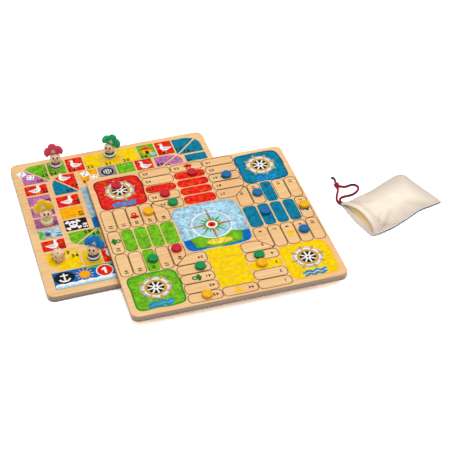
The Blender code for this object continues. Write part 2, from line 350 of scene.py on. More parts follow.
def birch_finish(name, turn, base):
    """Pale varnished veneer with long grain on the faces, and plies in bands on the edges, darkened in part
    as painted shade of the upright sides and most towards their foot.
    """
    finish = Finish(name, {"Coat Weight": 0.08, "Coat Roughness": 0.3})
    wave = finish.noise(finish.place(stretch=(3, 60, 60), turn=-turn), 4.0, 4.0)
    veins = finish.noise(finish.place(stretch=(8, 400, 400), turn=-turn), 2.0, 3.0)
    cloud = finish.noise(finish.place(), 9.0, 2.0)
    face = finish.mix(finish.span(wave * 0.6 + cloud * 0.4, 0.38, 0.62), WOOD_LIGHT, WOOD_DARK)
    face = finish.mix(finish.span(veins, 0.58, 0.75, 0.0, 0.45), face, WOOD_PORE)
    height = finish.height()
    bands = ((height - base) * (math.pi * PLY_COUNT / BOARD_THICKNESS)).sine()
    plies = finish.mix(finish.span(bands + veins * 0.6, -0.2, 0.8), PLY_DARK, PLY_PALE)
    rise = finish.span(height, base, base + BOARD_THICKNESS)
    # Painted shade: the plies darken towards the foot of the edge
    plies = finish.mix(finish.span(rise, 0.3, 0.6, 0.75, 0.0), plies, PLY_FOOT_SHADE)
    colour = finish.mix(finish.span(abs(finish.upward()), 0.35, 0.9), plies, face)
    return finish.coat(colour, wave, (0.4, 0.52), veins, 0.00008, 0.35)


def board_rings():
    """Rings of the board's outline up its side: the corner radius and the half side
    shrink by the inset of a quarter round at the bottom and at the top edge."""
    lower = arc((BOARD_EDGE, BOARD_EDGE), BOARD_EDGE, 270, 180, 5)
    upper = arc((BOARD_EDGE, BOARD_THICKNESS - BOARD_EDGE), BOARD_EDGE, 180, 90, 5)
    rings = []
    for inset, height in np.concatenate((lower, upper)):
        rings.append(at_height(rounded_square(BOARD_SIDE - 2 * inset, BOARD_CORNER - inset, 12), height))
    return np.stack(rings)


for board, (place, turn) in BOARD_PLACES.items():
    wood = birch_finish(f"{board}_birch", turn, place[2])
    solid = lofted(set_down(board_rings(), place, turn))
    make_piece(f"{board}_plywood", solid, wood, board, f"{board}_board")

# Printing
# Both boards are screen printed: washes of colour with darker rims, then figures,
# then thin brown lines and small numbers, each pass lying on the one before.

MM = 0.001
INK_STEP = 0.06  # millimetres that each pass stands above the last
INK_SUNK = 0.05
RIM_SHARE = 0.84  # the wash inside its rim, as a share of the field
NO_RIM = 1.0  # for bent outlines, which don't shrink into themselves
DIGIT_HEIGHT = 0.72  # of a digit of size 1 in the typeface
DIGIT_BOLD = 0.036  # added to each side of its strokes
DIGIT_STEP = 0.62  # from one digit to the next

RED = srgb(234, 28, 12)
GREEN = srgb(116, 188, 28)
DEEP_GREEN = srgb(40, 140, 50)
YELLOW = srgb(250, 209, 0)
BLUE = srgb(0, 126, 158)
SEA_BLUE = srgb(0, 112, 190)
WAVE_BLUE = srgb(20, 142, 208)
SKY_BLUE = srgb(172, 216, 234)
PURPLE = srgb(190, 112, 172)
ORANGE = srgb(252, 172, 0)
GREY = srgb(150, 150, 158)
PALE_GREY = srgb(205, 205, 212)
BLACK = srgb(22, 20, 24)
WHITE = srgb(250, 250, 248)
TAN = srgb(206, 158, 66)
BROWN = srgb(136, 92, 46)
LINE_BROWN = srgb(92, 64, 32)
NUMBER_BROWN = srgb(30, 20, 18)
CALM_INKS = {YELLOW: 0.42, ORANGE: 0.55}  # share of the clouding that the pale inks show
INK_DEEP = (0.60, 0.52, 0.58, 1)  # what a rim lets through


def unit(vectors):
    """Vectors brought to length one."""
    return vectors / np.linalg.norm(vectors, axis=-1, keepdims=True)


def leftward(vectors):
    """The way to the left of each flat vector: its coordinates swapped, the first one reversed."""
    return unit(np.column_stack((-vectors[:, 1], vectors[:, 0])))


def spline(a, b, c, d, steps):
    """Catmull-Rom spans from b to c: cubics whose slopes there are half the differences of
    the neighbours, a to c and b to d."""
    t = (np.arange(steps) / steps)[None, :, None]
    curve = b + t * (c - a) / 2 + t**2 * (2 * a - 5 * b + 4 * c - d) / 2
    curve = curve + t**3 * (3 * b - 3 * c + d - a) / 2
    return curve.reshape(-1, curve.shape[-1])


def smooth_loop(points, steps=6):
    """A closed curve through points, each span between two of them."""
    ring = np.asarray(points, float)
    return spline(*(np.roll(ring, k, axis=0)[:, None] for k in (1, 0, -1, -2)), steps)


def shrunk(corners, gap):
    """A convex outline with each side moved inwards: a corner moves by the sum of its two
    sides' inward normals over one plus their product."""
    ring = np.asarray(corners, float)
    inward = leftward(np.roll(ring, -1, axis=0) - ring)
    before = np.roll(inward, 1, axis=0)
    both = 1 + np.sum(before * inward, axis=1, keepdims=True)
    return ring + gap * (before + inward) / both


def softened(corners, radius, steps=4):
    """An outline whose corners are rounded: each is a quadratic curve between the points
    one radius away from it along its two sides."""
    ring = np.asarray(corners, float)
    start, end = (ring + radius * unit(np.roll(ring, k, axis=0) - ring) for k in (1, -1))
    t = np.linspace(0, 1, steps + 1)[None, :, None]
    curve = (1 - t) ** 2 * start[:, None] + 2 * t * (1 - t) * ring[:, None] + t**2 * end[:, None]
    return curve.reshape(-1, 2)


def rectangle(left, low, width, height):
    """Corners of an upright rectangle, anticlockwise."""
    return np.array(((0, 0), (1, 0), (1, 1), (0, 1))) * (width, height) + (left, low)


def placed(outline, centre, size=1.0, turn=0.0):
    """An outline scaled, turned by degrees and moved to a centre."""
    cos, sin = math.cos(math.radians(turn)), math.sin(math.radians(turn))
    turned = np.asarray(outline, float) @ np.array(((cos, sin), (-sin, cos)))
    return turned * size + np.array(centre)


def disc(centre, radius, steps=28):
    """Points of a circle, anticlockwise."""
    return arc(centre, radius, 0, 360 - 360 / steps, steps - 1)


def bar(start, end, width):
    """A straight stroke with round ends."""
    start, end = np.array(start, float), np.array(end, float)
    heading = math.degrees(math.atan2(*(end - start)[::-1]))
    tip = arc(end, width / 2, heading - 90, heading + 90, 6)
    return np.concatenate((tip, arc(start, width / 2, heading + 90, heading + 270, 6)))


def ribbon(line, width):
    """A band along a line of points: each side is the line moved by half the width along
    its normal."""
    line = np.asarray(line, float)
    offset = leftward(np.gradient(line, axis=0)) * width / 2
    return np.concatenate((line - offset, (line + offset)[::-1]))


def merged(mesh, gap):
    """Points and faces of a mesh, with its doubled points merged."""
    solid = bmesh.new()
    solid.from_mesh(mesh)
    bpy.data.meshes.remove(mesh)
    bmesh.ops.remove_doubles(solid, verts=solid.verts, dist=gap)
    points = np.array([vert.co for vert in solid.verts])
    faces = [[vert.index for vert in face.verts] for face in solid.faces]
    solid.free()
    return points, faces


def make_digits():
    """Each digit of the plain typeface as thin closed plates: its points and faces."""
    shapes = {}
    for digit in "0123456789":
        curve = bpy.data.curves.new("digit", "FONT")
        curve.body = digit
        curve.align_x = "CENTER"
        curve.extrude = 0.5
        curve.offset = DIGIT_BOLD
        curve.resolution_u = 3
        text = add_object("digit", curve)
        bpy.context.view_layer.update()
        shapes[digit] = merged(bpy.data.meshes.new_from_object(text), 1e-5)
        bpy.data.objects.remove(text)
    return shapes


def add_attribute(piece, name, values, kind="FLOAT", key="value"):
    """Values at the points of a piece, for its finish to read."""
    layer = piece.data.attributes.new(name, kind, "POINT")
    layer.data.foreach_set(key, np.asarray(values, np.float32).ravel())


DIGITS = make_digits()


class Print:
    """One pass of ink on a board, drawn in millimetres from the board's front left corner."""

    def __init__(self):
        self.points = []
        self.faces = []
        self.tones = []
        self.count = 0

    def add(self, points, faces, ink, rim, wash):
        """Keep a solid with its ink, how near its points are to a rim, and its wash."""
        self.points.append(points)
        self.faces += [[index + self.count for index in face] for face in faces]
        clouded = np.full(len(points), wash * CALM_INKS.get(ink, 1.0))
        tone = np.column_stack((np.tile(ink[:3], (len(points), 1)), rim, clouded))
        self.tones.append(tone)
        self.count += len(points)

    def field(self, outline, ink, layer=0, wash=1.0, rim_share=RIM_SHARE):
        """A filled outline: its sides, a rim where it has one, and the face inside."""
        following = np.roll(outline, -1, axis=0)
        if np.sum(outline[:, 0] * following[:, 1] - outline[:, 1] * following[:, 0]) < 0:
            outline = outline[::-1]
        top = INK_STEP * (layer + 1)
        loops = [(outline, -INK_SUNK), (outline, top)]
        rims = [0.0, 0.0]
        if rim_share != NO_RIM:
            middle = outline.mean(axis=0)
            loops.append((middle + (outline - middle) * rim_share, top))
            rims = [1.0, 1.0, 0.0]
        points, faces = lofted(np.stack([at_height(*loop) for loop in loops]))
        self.add(points, faces, ink, np.repeat(rims, len(outline)), wash)

    def stamp(self, shapes, centre=(0, 0), size=1.0, turn=0.0):
        """Filled outlines, each with its ink, layer and wash, set down as one picture."""
        for outline, *look in shapes:
            self.field(placed(outline, centre, size, turn), *look)

    def ring(self, outer, inner, ink, layer=0):
        """A closed band between two outlines of as many points: four loops, the last one
        joined to the first."""
        top = INK_STEP * (layer + 1)
        loops = ((outer, -INK_SUNK), (outer, top), (inner, top), (inner, -INK_SUNK))
        points = np.concatenate([at_height(*loop) for loop in loops])
        faces = np.array(grid_faces(len(loops) + 1, len(outer))) % len(points)
        self.add(points, faces.tolist(), ink, np.zeros(len(points)), 0.0)

    def line(self, corners, radius, width, ink, layer=0):
        """A closed line round a convex shape, with rounded corners."""
        self.ring(softened(corners, radius), softened(shrunk(corners, width), radius - width), ink, layer)

    def number(self, value, centre, height, turn=0.0, ink=NUMBER_BROWN, layer=1):
        """A plain number centred on a point."""
        text = str(value)
        for place, digit in enumerate(text):
            points, faces = DIGITS[digit]
            shift = (place - (len(text) - 1) / 2) * DIGIT_STEP
            flat = points[:, :2] + (shift, -DIGIT_HEIGHT / 2)
            level = np.where(points[:, 2] > 0, INK_STEP * (layer + 1), -INK_SUNK)
            solid = np.column_stack((placed(flat, centre, height / DIGIT_HEIGHT, turn), level))
            self.add(solid, faces, ink, np.zeros(len(points)), 0.0)

    def press(self, name, board):
        """Make the pass a piece of the board."""
        points = np.concatenate(self.points) * MM
        points -= (BOARD_SIDE / 2, BOARD_SIDE / 2, -BOARD_THICKNESS)
        solid = (set_down(points, *BOARD_PLACES[board]), self.faces)
        piece = make_piece(name, solid, screen_ink, board)
        tones = np.concatenate(self.tones)
        inks = np.column_stack((tones[:, :3], np.ones(len(tones))))
        add_attribute(piece, "ink", inks, "FLOAT_COLOR", "color")
        add_attribute(piece, "rim", tones[:, 3])
        add_attribute(piece, "wash", tones[:, 4])


def ink_finish(name):
    """Screen ink: the printed colour, clouded where it is a wash and darker along rims."""
    finish = Finish(name, {"Specular IOR Level": 0.06})
    wash = finish.attribute("wash")
    cloud = finish.noise(finish.place(), 150.0, 3.0)
    speck = finish.noise(finish.place(), 440.0, 2.0)
    drift = finish.noise(finish.place(), 190.0, 2.0)
    sockets = {
        "Hue": finish.span(drift, 0.35, 0.65, 0.492, 0.512),
        "Value": finish.span(cloud * 0.6 + speck * 0.4, 0.38, 0.62, 0.58, 1.28),
        "Fac": wash,
        "Color": finish.attribute("ink", "Color"),
    }
    washed = finish.node("ShaderNodeHueSaturation", sockets=sockets)
    deep = finish.mix(1.0, washed, INK_DEEP, "MULTIPLY")
    colour = finish.mix(finish.attribute("rim") * wash * 0.65, washed, deep)
    return finish.coat(colour, cloud, (0.45, 0.6), speck, 0.00003)


screen_ink = ink_finish("screen_ink")

# Goose game
# A spiral of 63 fields runs inwards from the front left corner, with wood left bare
# between them. Red fields carry a white goose; a few carry a traditional sign.

GAP = 1.4  # half the bare line between the two fields of a corner
FIELD_ROUND = 1.6
TURN_ROUND = 0.55  # of the outer corner of a turn, as a share of its sides
NUMBER_HEIGHT = 7.4
INKS = dict(zip(
    "rgybposkcw", (RED, GREEN, YELLOW, BLUE, PURPLE, ORANGE, GREY, BLACK, SKY_BLUE, WHITE)
))
# First number, colours, lower left corner, step to the next field, size, and where the
# number stands from the field's middle with its turn
RUNS = (
    (2, "yygrb", (118.5, 15), (31.8, 0), (29, 36), (8, 13, 0)),
    (9, "ryyggrb", (301, 70), (0, 32), (38, 26), (-13, -6, 90)),
    (18, "rgyyyrg", (258.5, 300), (-32.5, 0), (29.5, 38), (-8, -14, 0)),
    (27, "rpppcr", (14, 256), (0, -29.8), (38, 25.5), (14, -5, 90)),
    (35, "yrggbb", (72, 55), (31, 0), (28, 37), (8, 13, 0)),
    (43, "ppryy", (258, 103), (0, 31.5), (38, 28.5), (-13, -6, 90)),
    (50, "rgso", (212, 262), (-33, 0), (30, 36), (-8, -13, 0)),
    (56, "rok", (60, 210), (0, -32), (38, 28.5), (14, -6, 90)),
    (61, "yb", (116, 104), (31, 0), (28, 33), (8, 12, 0)),
)
# First number, its colours, the corner's rectangle and the way its outer corner points;
# the first field is the one beside the column where the last flag is true
CORNERS = (
    (7, "pp", (278, 15, 59, 51), (1, -1), False),
    (16, "bb", (289, 291, 51, 48), (1, 1), True),
    (25, "gp", (14, 285, 48, 53), (-1, 1), False),
    (33, "yy", (14, 55, 55, 48), (-1, -1), True),
    (41, "ro", (257, 55, 40, 45), (1, -1), False),
    (48, "pp", (246, 262, 50, 36), (1, 1), True),
    (54, "rb", (60, 243, 45, 55), (-1, 1), False),
    (59, "gg", (60, 104, 53, 39), (-1, -1), True),
)
# Where the numbers stand in the two halves of a corner, as shares from its inner corner
END_NUMBER, SIDE_NUMBER = (0.15, 0.37), (0.38, 0.16)
# Fields with a goose, and its turn in degrees
GEESE = {
    5: 8, 9: -10, 14: 6, 18: -12, 23: -14, 27: 10, 32: 12, 36: -8, 41: 10, 45: -6, 50: -12, 54: -20, 56: 14,
}
GOOSE_SIZE = 13.0
GOOSE_BODY = (
    (-1.00, 0.28), (-0.62, 0.22), (-0.18, 0.26), (0.14, 0.30), (0.26, 0.62), (0.36, 0.92),
    (0.58, 1.00), (0.76, 0.84), (0.64, 0.66), (0.56, 0.40), (0.60, 0.02), (0.40, -0.38),
    (-0.02, -0.56), (-0.46, -0.42), (-0.78, -0.06),
)
GOOSE_WING = (
    (-0.72, 0.10), (-0.30, 0.12), (0.12, 0.08), (0.20, -0.14), (-0.08, -0.30), (-0.44, -0.18),
)
GOOSE_BEAK = ((0.72, 0.92), (1.04, 0.76), (0.70, 0.70))

fields, figures, numbers = Print(), Print(), Print()
goose_middles = {}


def print_goose(centre, turn):
    """A walking goose: white body, grey wing, orange beak and legs, dark eye. It looks the
    other way where its turn is negative."""
    shapes = [
        (smooth_loop(GOOSE_BODY), WHITE, 1, 0.2, NO_RIM),
        (smooth_loop(GOOSE_WING), PALE_GREY, 2, 0.3),
        (np.array(GOOSE_BEAK), ORANGE, 2, 0.2),
        (disc((0.56, 0.86), 0.07, 10), BLACK, 3, 0),
    ]
    for foot in (-0.12, 0.22):
        shapes.append((bar((foot, -0.5), (foot - 0.08, -0.86), 0.1), ORANGE, 0.6, 0.2))
    flip = (-1.0 if turn < 0 else 1.0, 1.0)
    figures.stamp([(outline * np.array(flip), *look) for outline, *look in shapes], centre, GOOSE_SIZE, turn)


def corner_halves(box, heading):
    """The two fields of a turn: the rectangle's outer corner is rounded, and the diagonal
    from its inner corner splits it. The upper or lower half comes first, then the side half."""
    left, low, width, height = box
    turn = arc((1 - TURN_ROUND, 1 - TURN_ROUND), TURN_ROUND, 0, 90, 10)
    side = np.concatenate((((0, 0), (1, 0)), turn[:6]))
    end = np.concatenate((turn[5:], ((0, 1), (0, 0))))
    halves = []
    for half in (end, side):
        corners = (np.array(heading) * (half - 0.5) + 0.5) * (width, height) + (left, low)
        if heading[0] * heading[1] < 0:
            corners = corners[::-1]
        halves.append(shrunk(corners, GAP))
    return halves


for first, colours, start, step, size, (dx, dy, turn) in RUNS:
    for i, letter in enumerate(colours):
        corner = np.array(start) + np.array(step) * i
        outline = softened(rectangle(*corner, *size), FIELD_ROUND)
        middle = corner + np.array(size) / 2
        goose_middles[first + i] = middle
        fields.field(outline, INKS[letter])
        shade = WHITE if letter == "k" else NUMBER_BROWN
        numbers.number(first + i, middle + (dx, dy), NUMBER_HEIGHT, turn, shade, layer=2)
for first, colours, box, heading, side_first in CORNERS:
    halves = corner_halves(box, heading)
    for i, letter in enumerate(colours):
        half = halves[1 - i] if side_first else halves[i]
        goose_middles[first + i] = half.mean(axis=0)
        fields.field(softened(half, 0.6, 2), INKS[letter])
        share = END_NUMBER if half is halves[0] else SIDE_NUMBER
        spot = (np.array(heading) * (np.array(share) - 0.5) + 0.5) * box[2:] + box[:2]
        numbers.number(first + i, spot, NUMBER_HEIGHT, layer=2)
for number, turn in GEESE.items():
    print_goose(goose_middles[number], turn)


def print_die(centre, size, turn, pips):
    """A small white die seen square on, with its pips."""
    shapes = [(softened(rectangle(-0.5, -0.5, 1, 1), 0.2), WHITE, 1, 0.1)]
    shapes += [(disc(pip, 0.1, 10), BLACK, 2, 0) for pip in pips]
    figures.stamp(shapes, centre, size, turn)


for number in (26, 53):
    spot = goose_middles[number]
    print_die(spot + (-6, 8), 14, 20, ((-0.25, -0.25), (0.25, 0.25), (0, 0)))
    print_die(spot + (7, -5), 13, -15, ((-0.25, 0.25), (0.25, -0.25), (0.25, 0.25), (-0.25, -0.25)))


def print_skull(centre, size):
    """Crossed bones behind a plain skull, each stroke a little above the last."""
    bone = [bar((-0.8, 0), (0.8, 0), 0.2)]
    bone += [disc((end, knob), 0.16, 12) for end in (-0.84, 0.84) for knob in (-0.13, 0.13)]
    jaw = softened(rectangle(-0.26, -0.52, 0.52, 0.5), 0.1)
    strokes = [(shape, turn) for turn in (42, -42) for shape in bone]
    strokes += [(jaw, 0), (disc((0, 0.16), 0.5), 0)]
    for i, (shape, turn) in enumerate(strokes):
        figures.field(placed(shape, centre, size, turn), WHITE, 1 + 0.12 * i, 0.2)
    for x, y, radius in ((-0.2, 0.14, 0.15), (0.2, 0.14, 0.15), (0, -0.1, 0.07)):
        figures.field(placed(disc((x, y), radius, 12), centre, size), BLACK, 3, 0)


print_skull(goose_middles[58] + (-4.5, 0), 15.0)


def bridge_arch(width):
    """A half circle standing on two short feet."""
    feet = ((-width / 2, -11), (width / 2, -11))
    return np.concatenate((arc((0, -9), width / 2, 0, 180, 14), feet))


# Signs of the special fields: bridge, inn, well, maze and prison
SIGNS = {
    6: ((bridge_arch(24), WHITE, 1, 0.4), (bridge_arch(17), BLUE, 2, 0.4)),
    19: (
        (rectangle(-9, -8, 18, 14), ORANGE, 1),
        (((-12, 5), (12, 5), (0, 15)), RED, 2),
        (rectangle(-3, -8, 6, 9), BLACK, 2, 0.3),
        (disc((9, -10), 5), SKY_BLUE, 1.5),
    ),
    31: (
        (rectangle(-10, -10, 13, 9), ORANGE, 1),
        (disc((-3.5, -1), 6.5), GREY, 2),
        (disc((-3.5, -1), 4.2), SEA_BLUE, 3),
        (rectangle(-18, -11, 7, 20), GREEN, 1),
    ),
    42: [(disc((0, 0), 12 - 3 * i), WHITE if i % 2 else BROWN, i, 0.3) for i in (1, 2, 3)],
    52: [(disc((0, 3), 11), BLACK, 1, 0.4), (disc((0, 3), 7.5), PALE_GREY, 2, 0.6)]
    + [(bar((x, -3), (x, 9), 1.4), BLACK, 3, 0) for x in (-4, 0, 4)],
}
for number, sign in SIGNS.items():
    figures.stamp(sign, goose_middles[number])

# Start field: the sea with a sun, a shore and an anchor, and the number one on a red disc
START_LEFT, START_LOW, START_WIDTH, START_DEPTH = 16, 14, 99.5, 39
FOAM_FOOT = 14.2
SUN_PLACE = (66, 37)
start_box = rectangle(START_LEFT, START_LOW, START_WIDTH, START_DEPTH)
figures.field(softened(start_box, FIELD_ROUND), SEA_BLUE, 0, 0.5)
crest = np.linspace(0, 1, 60)
for depth, waves, paint, layer in ((9.0, 6, WHITE, 1), (4.0, 9, SKY_BLUE, 2)):
    top = FOAM_FOOT + depth + 2.2 * np.abs(np.sin(crest * math.pi * waves))
    foam = np.column_stack((START_LEFT + 1 + crest * (START_WIDTH - 2), top))
    foot = at_height((START_LEFT + START_WIDTH - 1, START_LEFT + 1), FOAM_FOOT + 0.6)
    figures.field(np.concatenate((foam, foot)), paint, layer, 0.3, NO_RIM)
for ray in range(12):
    figures.stamp([(bar((10, 0), (13.5, 0), 1.6), ORANGE, 1.6, 0.2)], SUN_PLACE, 1, 30 * ray)
shore = np.column_stack((np.linspace(72, 114, 20), 46 + 3 * np.sin(np.linspace(0, 9, 20))))
figures.stamp((
    (disc(SUN_PLACE, 8.5), ORANGE, 2, 0.6),
    (disc((0, 0), 1, 40) * (17, 13.5) + (34, 38), BLACK, 1.5, 0.2),
    (bar((34, 29), (34, 47), 2.6), WHITE, 3, 0),
    (bar((28.5, 43), (39.5, 43), 2.4), WHITE, 3.2, 0),
    (ribbon(arc((34, 38), 8.8, 200, 340, 14), 3.0), WHITE, 3.4, 0, NO_RIM),
    (np.concatenate((shore, ((114, 52.5), (72, 52.5)))), GREEN, 1.3, 0.8, NO_RIM),
    (disc((98.5, 37), 14.0), WHITE, 2, 0.1),
    (disc((98.5, 37), 12.2), RED, 3, 0.3),
    (bar((99.4, 31.5), (99.4, 42.6), 3.9), WHITE, 4, 0),
    (bar((99.4, 42.4), (95.6, 39.8), 3.9), WHITE, 4.3, 0),
))

# Last field: sky over the sea with a bright sun
LAST_LEFT, LAST_LOW, LAST_SIZE = 106, 141, (141, 112)
swell = np.linspace(0, 1, 50)
sea = np.column_stack((LAST_LEFT + swell * LAST_SIZE[0], 168 + 2.5 * np.sin(swell * 30)))
sea_foot = ((LAST_LEFT + LAST_SIZE[0], LAST_LOW + 1), (LAST_LEFT, LAST_LOW + 1))
figures.stamp((
    (softened(rectangle(LAST_LEFT, LAST_LOW, *LAST_SIZE), 2.5), SKY_BLUE, 0, 0.8),
    (np.concatenate((sea, sea_foot)), SEA_BLUE, 1, 0.8, NO_RIM),
    (disc((121, 196), 6.5) * (1, 0.8) + (0, 38), TAN, 1, 0.8),
    (disc((175, 205), 26), YELLOW, 1, 0.8),
))
numbers.number(63, (175, 205), 20.0, layer=2)

fields.press("goose_fields", "goose")
figures.press("goose_figures", "goose")
numbers.press("goose_numbers", "goose")

# Ludo
# Four homes stand in the corners and a picture in the middle of a cross of three
# lanes. One arm is drawn and turned for the other three; its middle lane is coloured.

BOARD_MIDDLE = np.array((175.0, 175.0))
ROWS = (171.0, 149.5, 127.5, 105.5, 83.5, 58.5)  # across an arm, from the rim inwards
LANES = (-84.0, -28.5, 28.5, 84.0)
LANE_GAP = 0.15
WASH_GAP = 1.0
LINE_WIDTH = 1.2
CELL_ROUND = 8.5
CORNER_OVERLAP = 0.85  # of the inner fields across a diagonal, so that they share one line
ARM_INKS = (YELLOW, BLUE, RED, GREEN)  # front, right, back and left arm
ARM_ROUNDS = (7.5, 7.5, 9.6, 7.5)
SAND = srgb(248, 216, 70)
MARK_INKS = (srgb(250, 192, 0), srgb(0, 84, 150), srgb(190, 14, 26), srgb(16, 122, 44))
ARM_TURNS = (180, 270, 0, 90)
HOME_PLACE = 124.5
HOME_HALF = 41.5
TRACK = 44
TRACK_NUMBER = 5.6
SNUG_ROUND = 2.0  # corners of the front arm's lane, whose fields all but touch
SNUG_SHARE = 0.1  # of the usual gap

washes, lines, pictures, track_numbers = Print(), Print(), Print(), Print()


def arm_cell(lane, row):
    """Corners of a field of the back arm; the innermost ones are cut along the diagonal."""
    left = np.full(2, LANES[lane] + LANE_GAP)
    right = np.full(2, LANES[lane + 1] - LANE_GAP)
    low, high = level = np.array((ROWS[row + 1] + LANE_GAP, ROWS[row] - LANE_GAP))
    if row == 4 and lane == 0:
        left = -level - CORNER_OVERLAP
    if row == 4 and lane == 2:
        right = level + CORNER_OVERLAP
    return np.array(((left[0], low), (right[0], low), (right[1], high), (left[1], high)))


def print_mark(centre, turn, paint):
    """A ring under three round lobes, the sign of a head with a hat."""
    shapes = [disc(lobe, 3.0, 16) for lobe in ((-5.4, 0), (-3.4, 4.4), (-3.4, -4.4))]
    shapes.append(rectangle(-4.6, -5.6, 3.4, 11.2))
    for i, shape in enumerate(shapes):
        pictures.field(placed(shape, centre, 1, turn), paint, 1 + 0.15 * i, 0.3, NO_RIM)
    rims = (placed(disc((3.2, 0), radius, 20), centre, 1, turn) for radius in (4.6, 2.0))
    pictures.ring(*rims, paint, 1.7)


for arm, (paint, turn) in enumerate(zip(ARM_INKS, ARM_TURNS)):
    for lane in range(3):
        for row in range(5):
            cell = placed(arm_cell(lane, row), BOARD_MIDDLE, 1, turn)
            if (lane == 1 and row > 0) or (lane == 0 and row == 2):
                snug = paint is YELLOW and lane == 1
                inside = shrunk(cell, WASH_GAP * (SNUG_SHARE if snug else 1))
                washes.field(softened(inside, SNUG_ROUND if snug else ARM_ROUNDS[arm]), paint)
            else:
                lines.line(cell, CELL_ROUND, LINE_WIDTH, LINE_BROWN, 0.7 if lane == 0 else 0.5)
            if lane == 1 and row > 0:
                continue
            ahead = (row + 1, 0, -row - 1)[lane]
            number = (TRACK // 4 * arm + ahead - 1) % TRACK + 1
            inset = 20 if row == 4 and lane == 0 else 11
            spot = (LANES[lane] + inset, (ROWS[row] + ROWS[row + 1]) / 2)
            track_numbers.number(number, placed(spot, BOARD_MIDDLE, 1, turn), TRACK_NUMBER, turn)
    outer, third = (ROWS[0] + ROWS[1]) / 2, (ROWS[2] + ROWS[3]) / 2
    print_mark(placed((3, outer - 1), BOARD_MIDDLE, 1, turn), turn - 90, MARK_INKS[arm])
    print_mark(placed((58, third), BOARD_MIDDLE, 1, turn), turn, MARK_INKS[arm - 1])


def round_angles(count):
    """Even angles once round a circle."""
    return np.linspace(0, 2 * math.pi, count, endpoint=False)


def home_outline(half):
    """A soft square with slightly uneven sides: a superellipse with a ripple."""
    angle = round_angles(96)
    cos, sin = np.cos(angle), np.sin(angle)
    reach = half / (np.abs(cos) ** 7 + np.abs(sin) ** 7) ** (1 / 7)
    reach *= 0.975 + 0.015 * np.sin(5 * angle + 1) + 0.010 * np.sin(8 * angle)
    return np.column_stack((cos, sin)) * reach[:, None]


def print_wheel(centre, size, turn):
    """A ship's wheel: rim, eight spokes with handles and a hub, on a dark disc with a pale rim."""
    pictures.field(disc(centre, size * 0.98, 40), PALE_GREY, 1, 0.9)
    pictures.field(disc(centre, size * 0.84, 40), WHITE, 2, 0.5)
    pictures.field(disc(centre, size * 0.56, 40), BLACK, 2.6, 0.2)
    for spoke in range(8):
        heading = turn + 45 * spoke
        pictures.field(placed(bar((0.1, 0), (0.92, 0), 0.10), centre, size, heading), WHITE, 3, 0.3)
        pictures.field(placed(bar((0.82, 0), (1.06, 0), 0.17), centre, size, heading), TAN, 3.2, 0.3)
    for start in (0, 180):
        hoop = ribbon(arc((0, 0), 0.62, start, start + 180, 24), 0.19)
        pictures.field(placed(hoop, centre, size, turn), TAN, 3.1, 0.4, NO_RIM)
    pictures.field(disc(centre, size * 0.20, 20), WHITE, 3.3, 0.2)
    pictures.field(disc(centre, size * 0.09, 12), BROWN, 3.5, 0.2)


def print_wave(centre, length, turn):
    """A rippling ribbon of water."""
    along = np.linspace(-1, 1, 40)
    line = np.column_stack((along * length / 2, 1.6 * np.sin(along * 9)))
    pictures.field(placed(ribbon(line, 4.6), centre, 1, turn), WAVE_BLUE, 1, 0.8, NO_RIM)


# Wash, brushed rim and corner of each home
HOMES = (
    (srgb(222, 26, 20), srgb(160, 12, 12), (-1, 1)),
    (BLUE, srgb(0, 88, 130), (1, 1)),
    (GREEN, srgb(48, 140, 30), (-1, -1)),
    (YELLOW, srgb(248, 190, 0), (1, -1)),
)
for paint, brushed, side in HOMES:
    centre = BOARD_MIDDLE + np.array(side) * HOME_PLACE
    outline = home_outline(HOME_HALF)
    washes.field(centre + outline, paint, rim_share=0.94)
    washes.ring(centre + outline * 0.998, centre + outline * 0.935, brushed, 0.5)
    print_wheel(centre + (0, 5), 25.0, 11)
    for drop in (-28, -35):
        print_wave(centre + (0, drop), 52 + drop * 0.4, 0)

# Middle picture: a compass rose between sky, sea and a green shore
washes.field(BOARD_MIDDLE + home_outline(58.5), SKY_BLUE)
low_half = home_outline(57.2)
low_half = low_half[low_half[:, 1] < -24]
hill = np.column_stack((np.linspace(-44, 44, 40), -26 + 5 * np.cos(np.linspace(-1.6, 1.6, 40))))
hill = np.concatenate((hill, ((38, -50), (0, -55.5), (-38, -50))))
pictures.stamp((
    (low_half, SEA_BLUE, 1, 0.8),
    (hill, GREEN, 2, 0.9),
    (disc((0, 0), 1) * (22, 7) + (2, -42), SAND, 2.2, 0.9),
    (disc((0, 0), 34, 60), WHITE, 2.4, 0.3),
    (disc((0, 0), 31.5, 60), SKY_BLUE, 2.6, 0.6),
), BOARD_MIDDLE)
# Rays of the rose by turns: reach, half width, layer and the inks of its two blades
LONG_RAY = (44, 3.4, 3.2, (TAN, BROWN))
MIDDLE_RAY = (31, 2.8, 3.0, (GREEN, DEEP_GREEN))
SHORT_RAY = (22, 2.8, 2.8, (GREEN, DEEP_GREEN))
BLADE_GAP = 0.05
for ray, (reach, width, layer, paints) in enumerate((LONG_RAY, SHORT_RAY, MIDDLE_RAY, SHORT_RAY) * 4):
    for side, paint in zip((1, -1), paints):
        blade = ((0, BLADE_GAP * side), (reach, BLADE_GAP * side), (7, width * side))
        pictures.stamp([(blade, paint, layer, 0.4)], BOARD_MIDDLE, 1, 22.5 * ray)
pictures.stamp((
    (disc((0, 0), 9.5), WHITE, 3.4, 0.2),
    (disc((0, 0), 6.5), RED, 3.5, 0.4),
    (disc((0, 0), 2.4, 14), BLACK, 3.6, 0),
), BOARD_MIDDLE)

washes.press("ludo_fields", "ludo")
lines.press("ludo_lines", "ludo")
pictures.press("ludo_pictures", "ludo")
track_numbers.press("ludo_numbers", "ludo")

# Counters
# Turned beech discs with rounded edges and a shallow dish in the top, dipped in
# gloss paint. They lie loose on the ludo board.

COUNTER_ROUND = 0.0017
COUNTER_DISH = 0.00035
PAINTS = {
    "red": srgb(206, 24, 44),
    "green": srgb(0, 146, 78),
    "yellow": srgb(255, 188, 0),
    "blue": srgb(0, 110, 172),
}


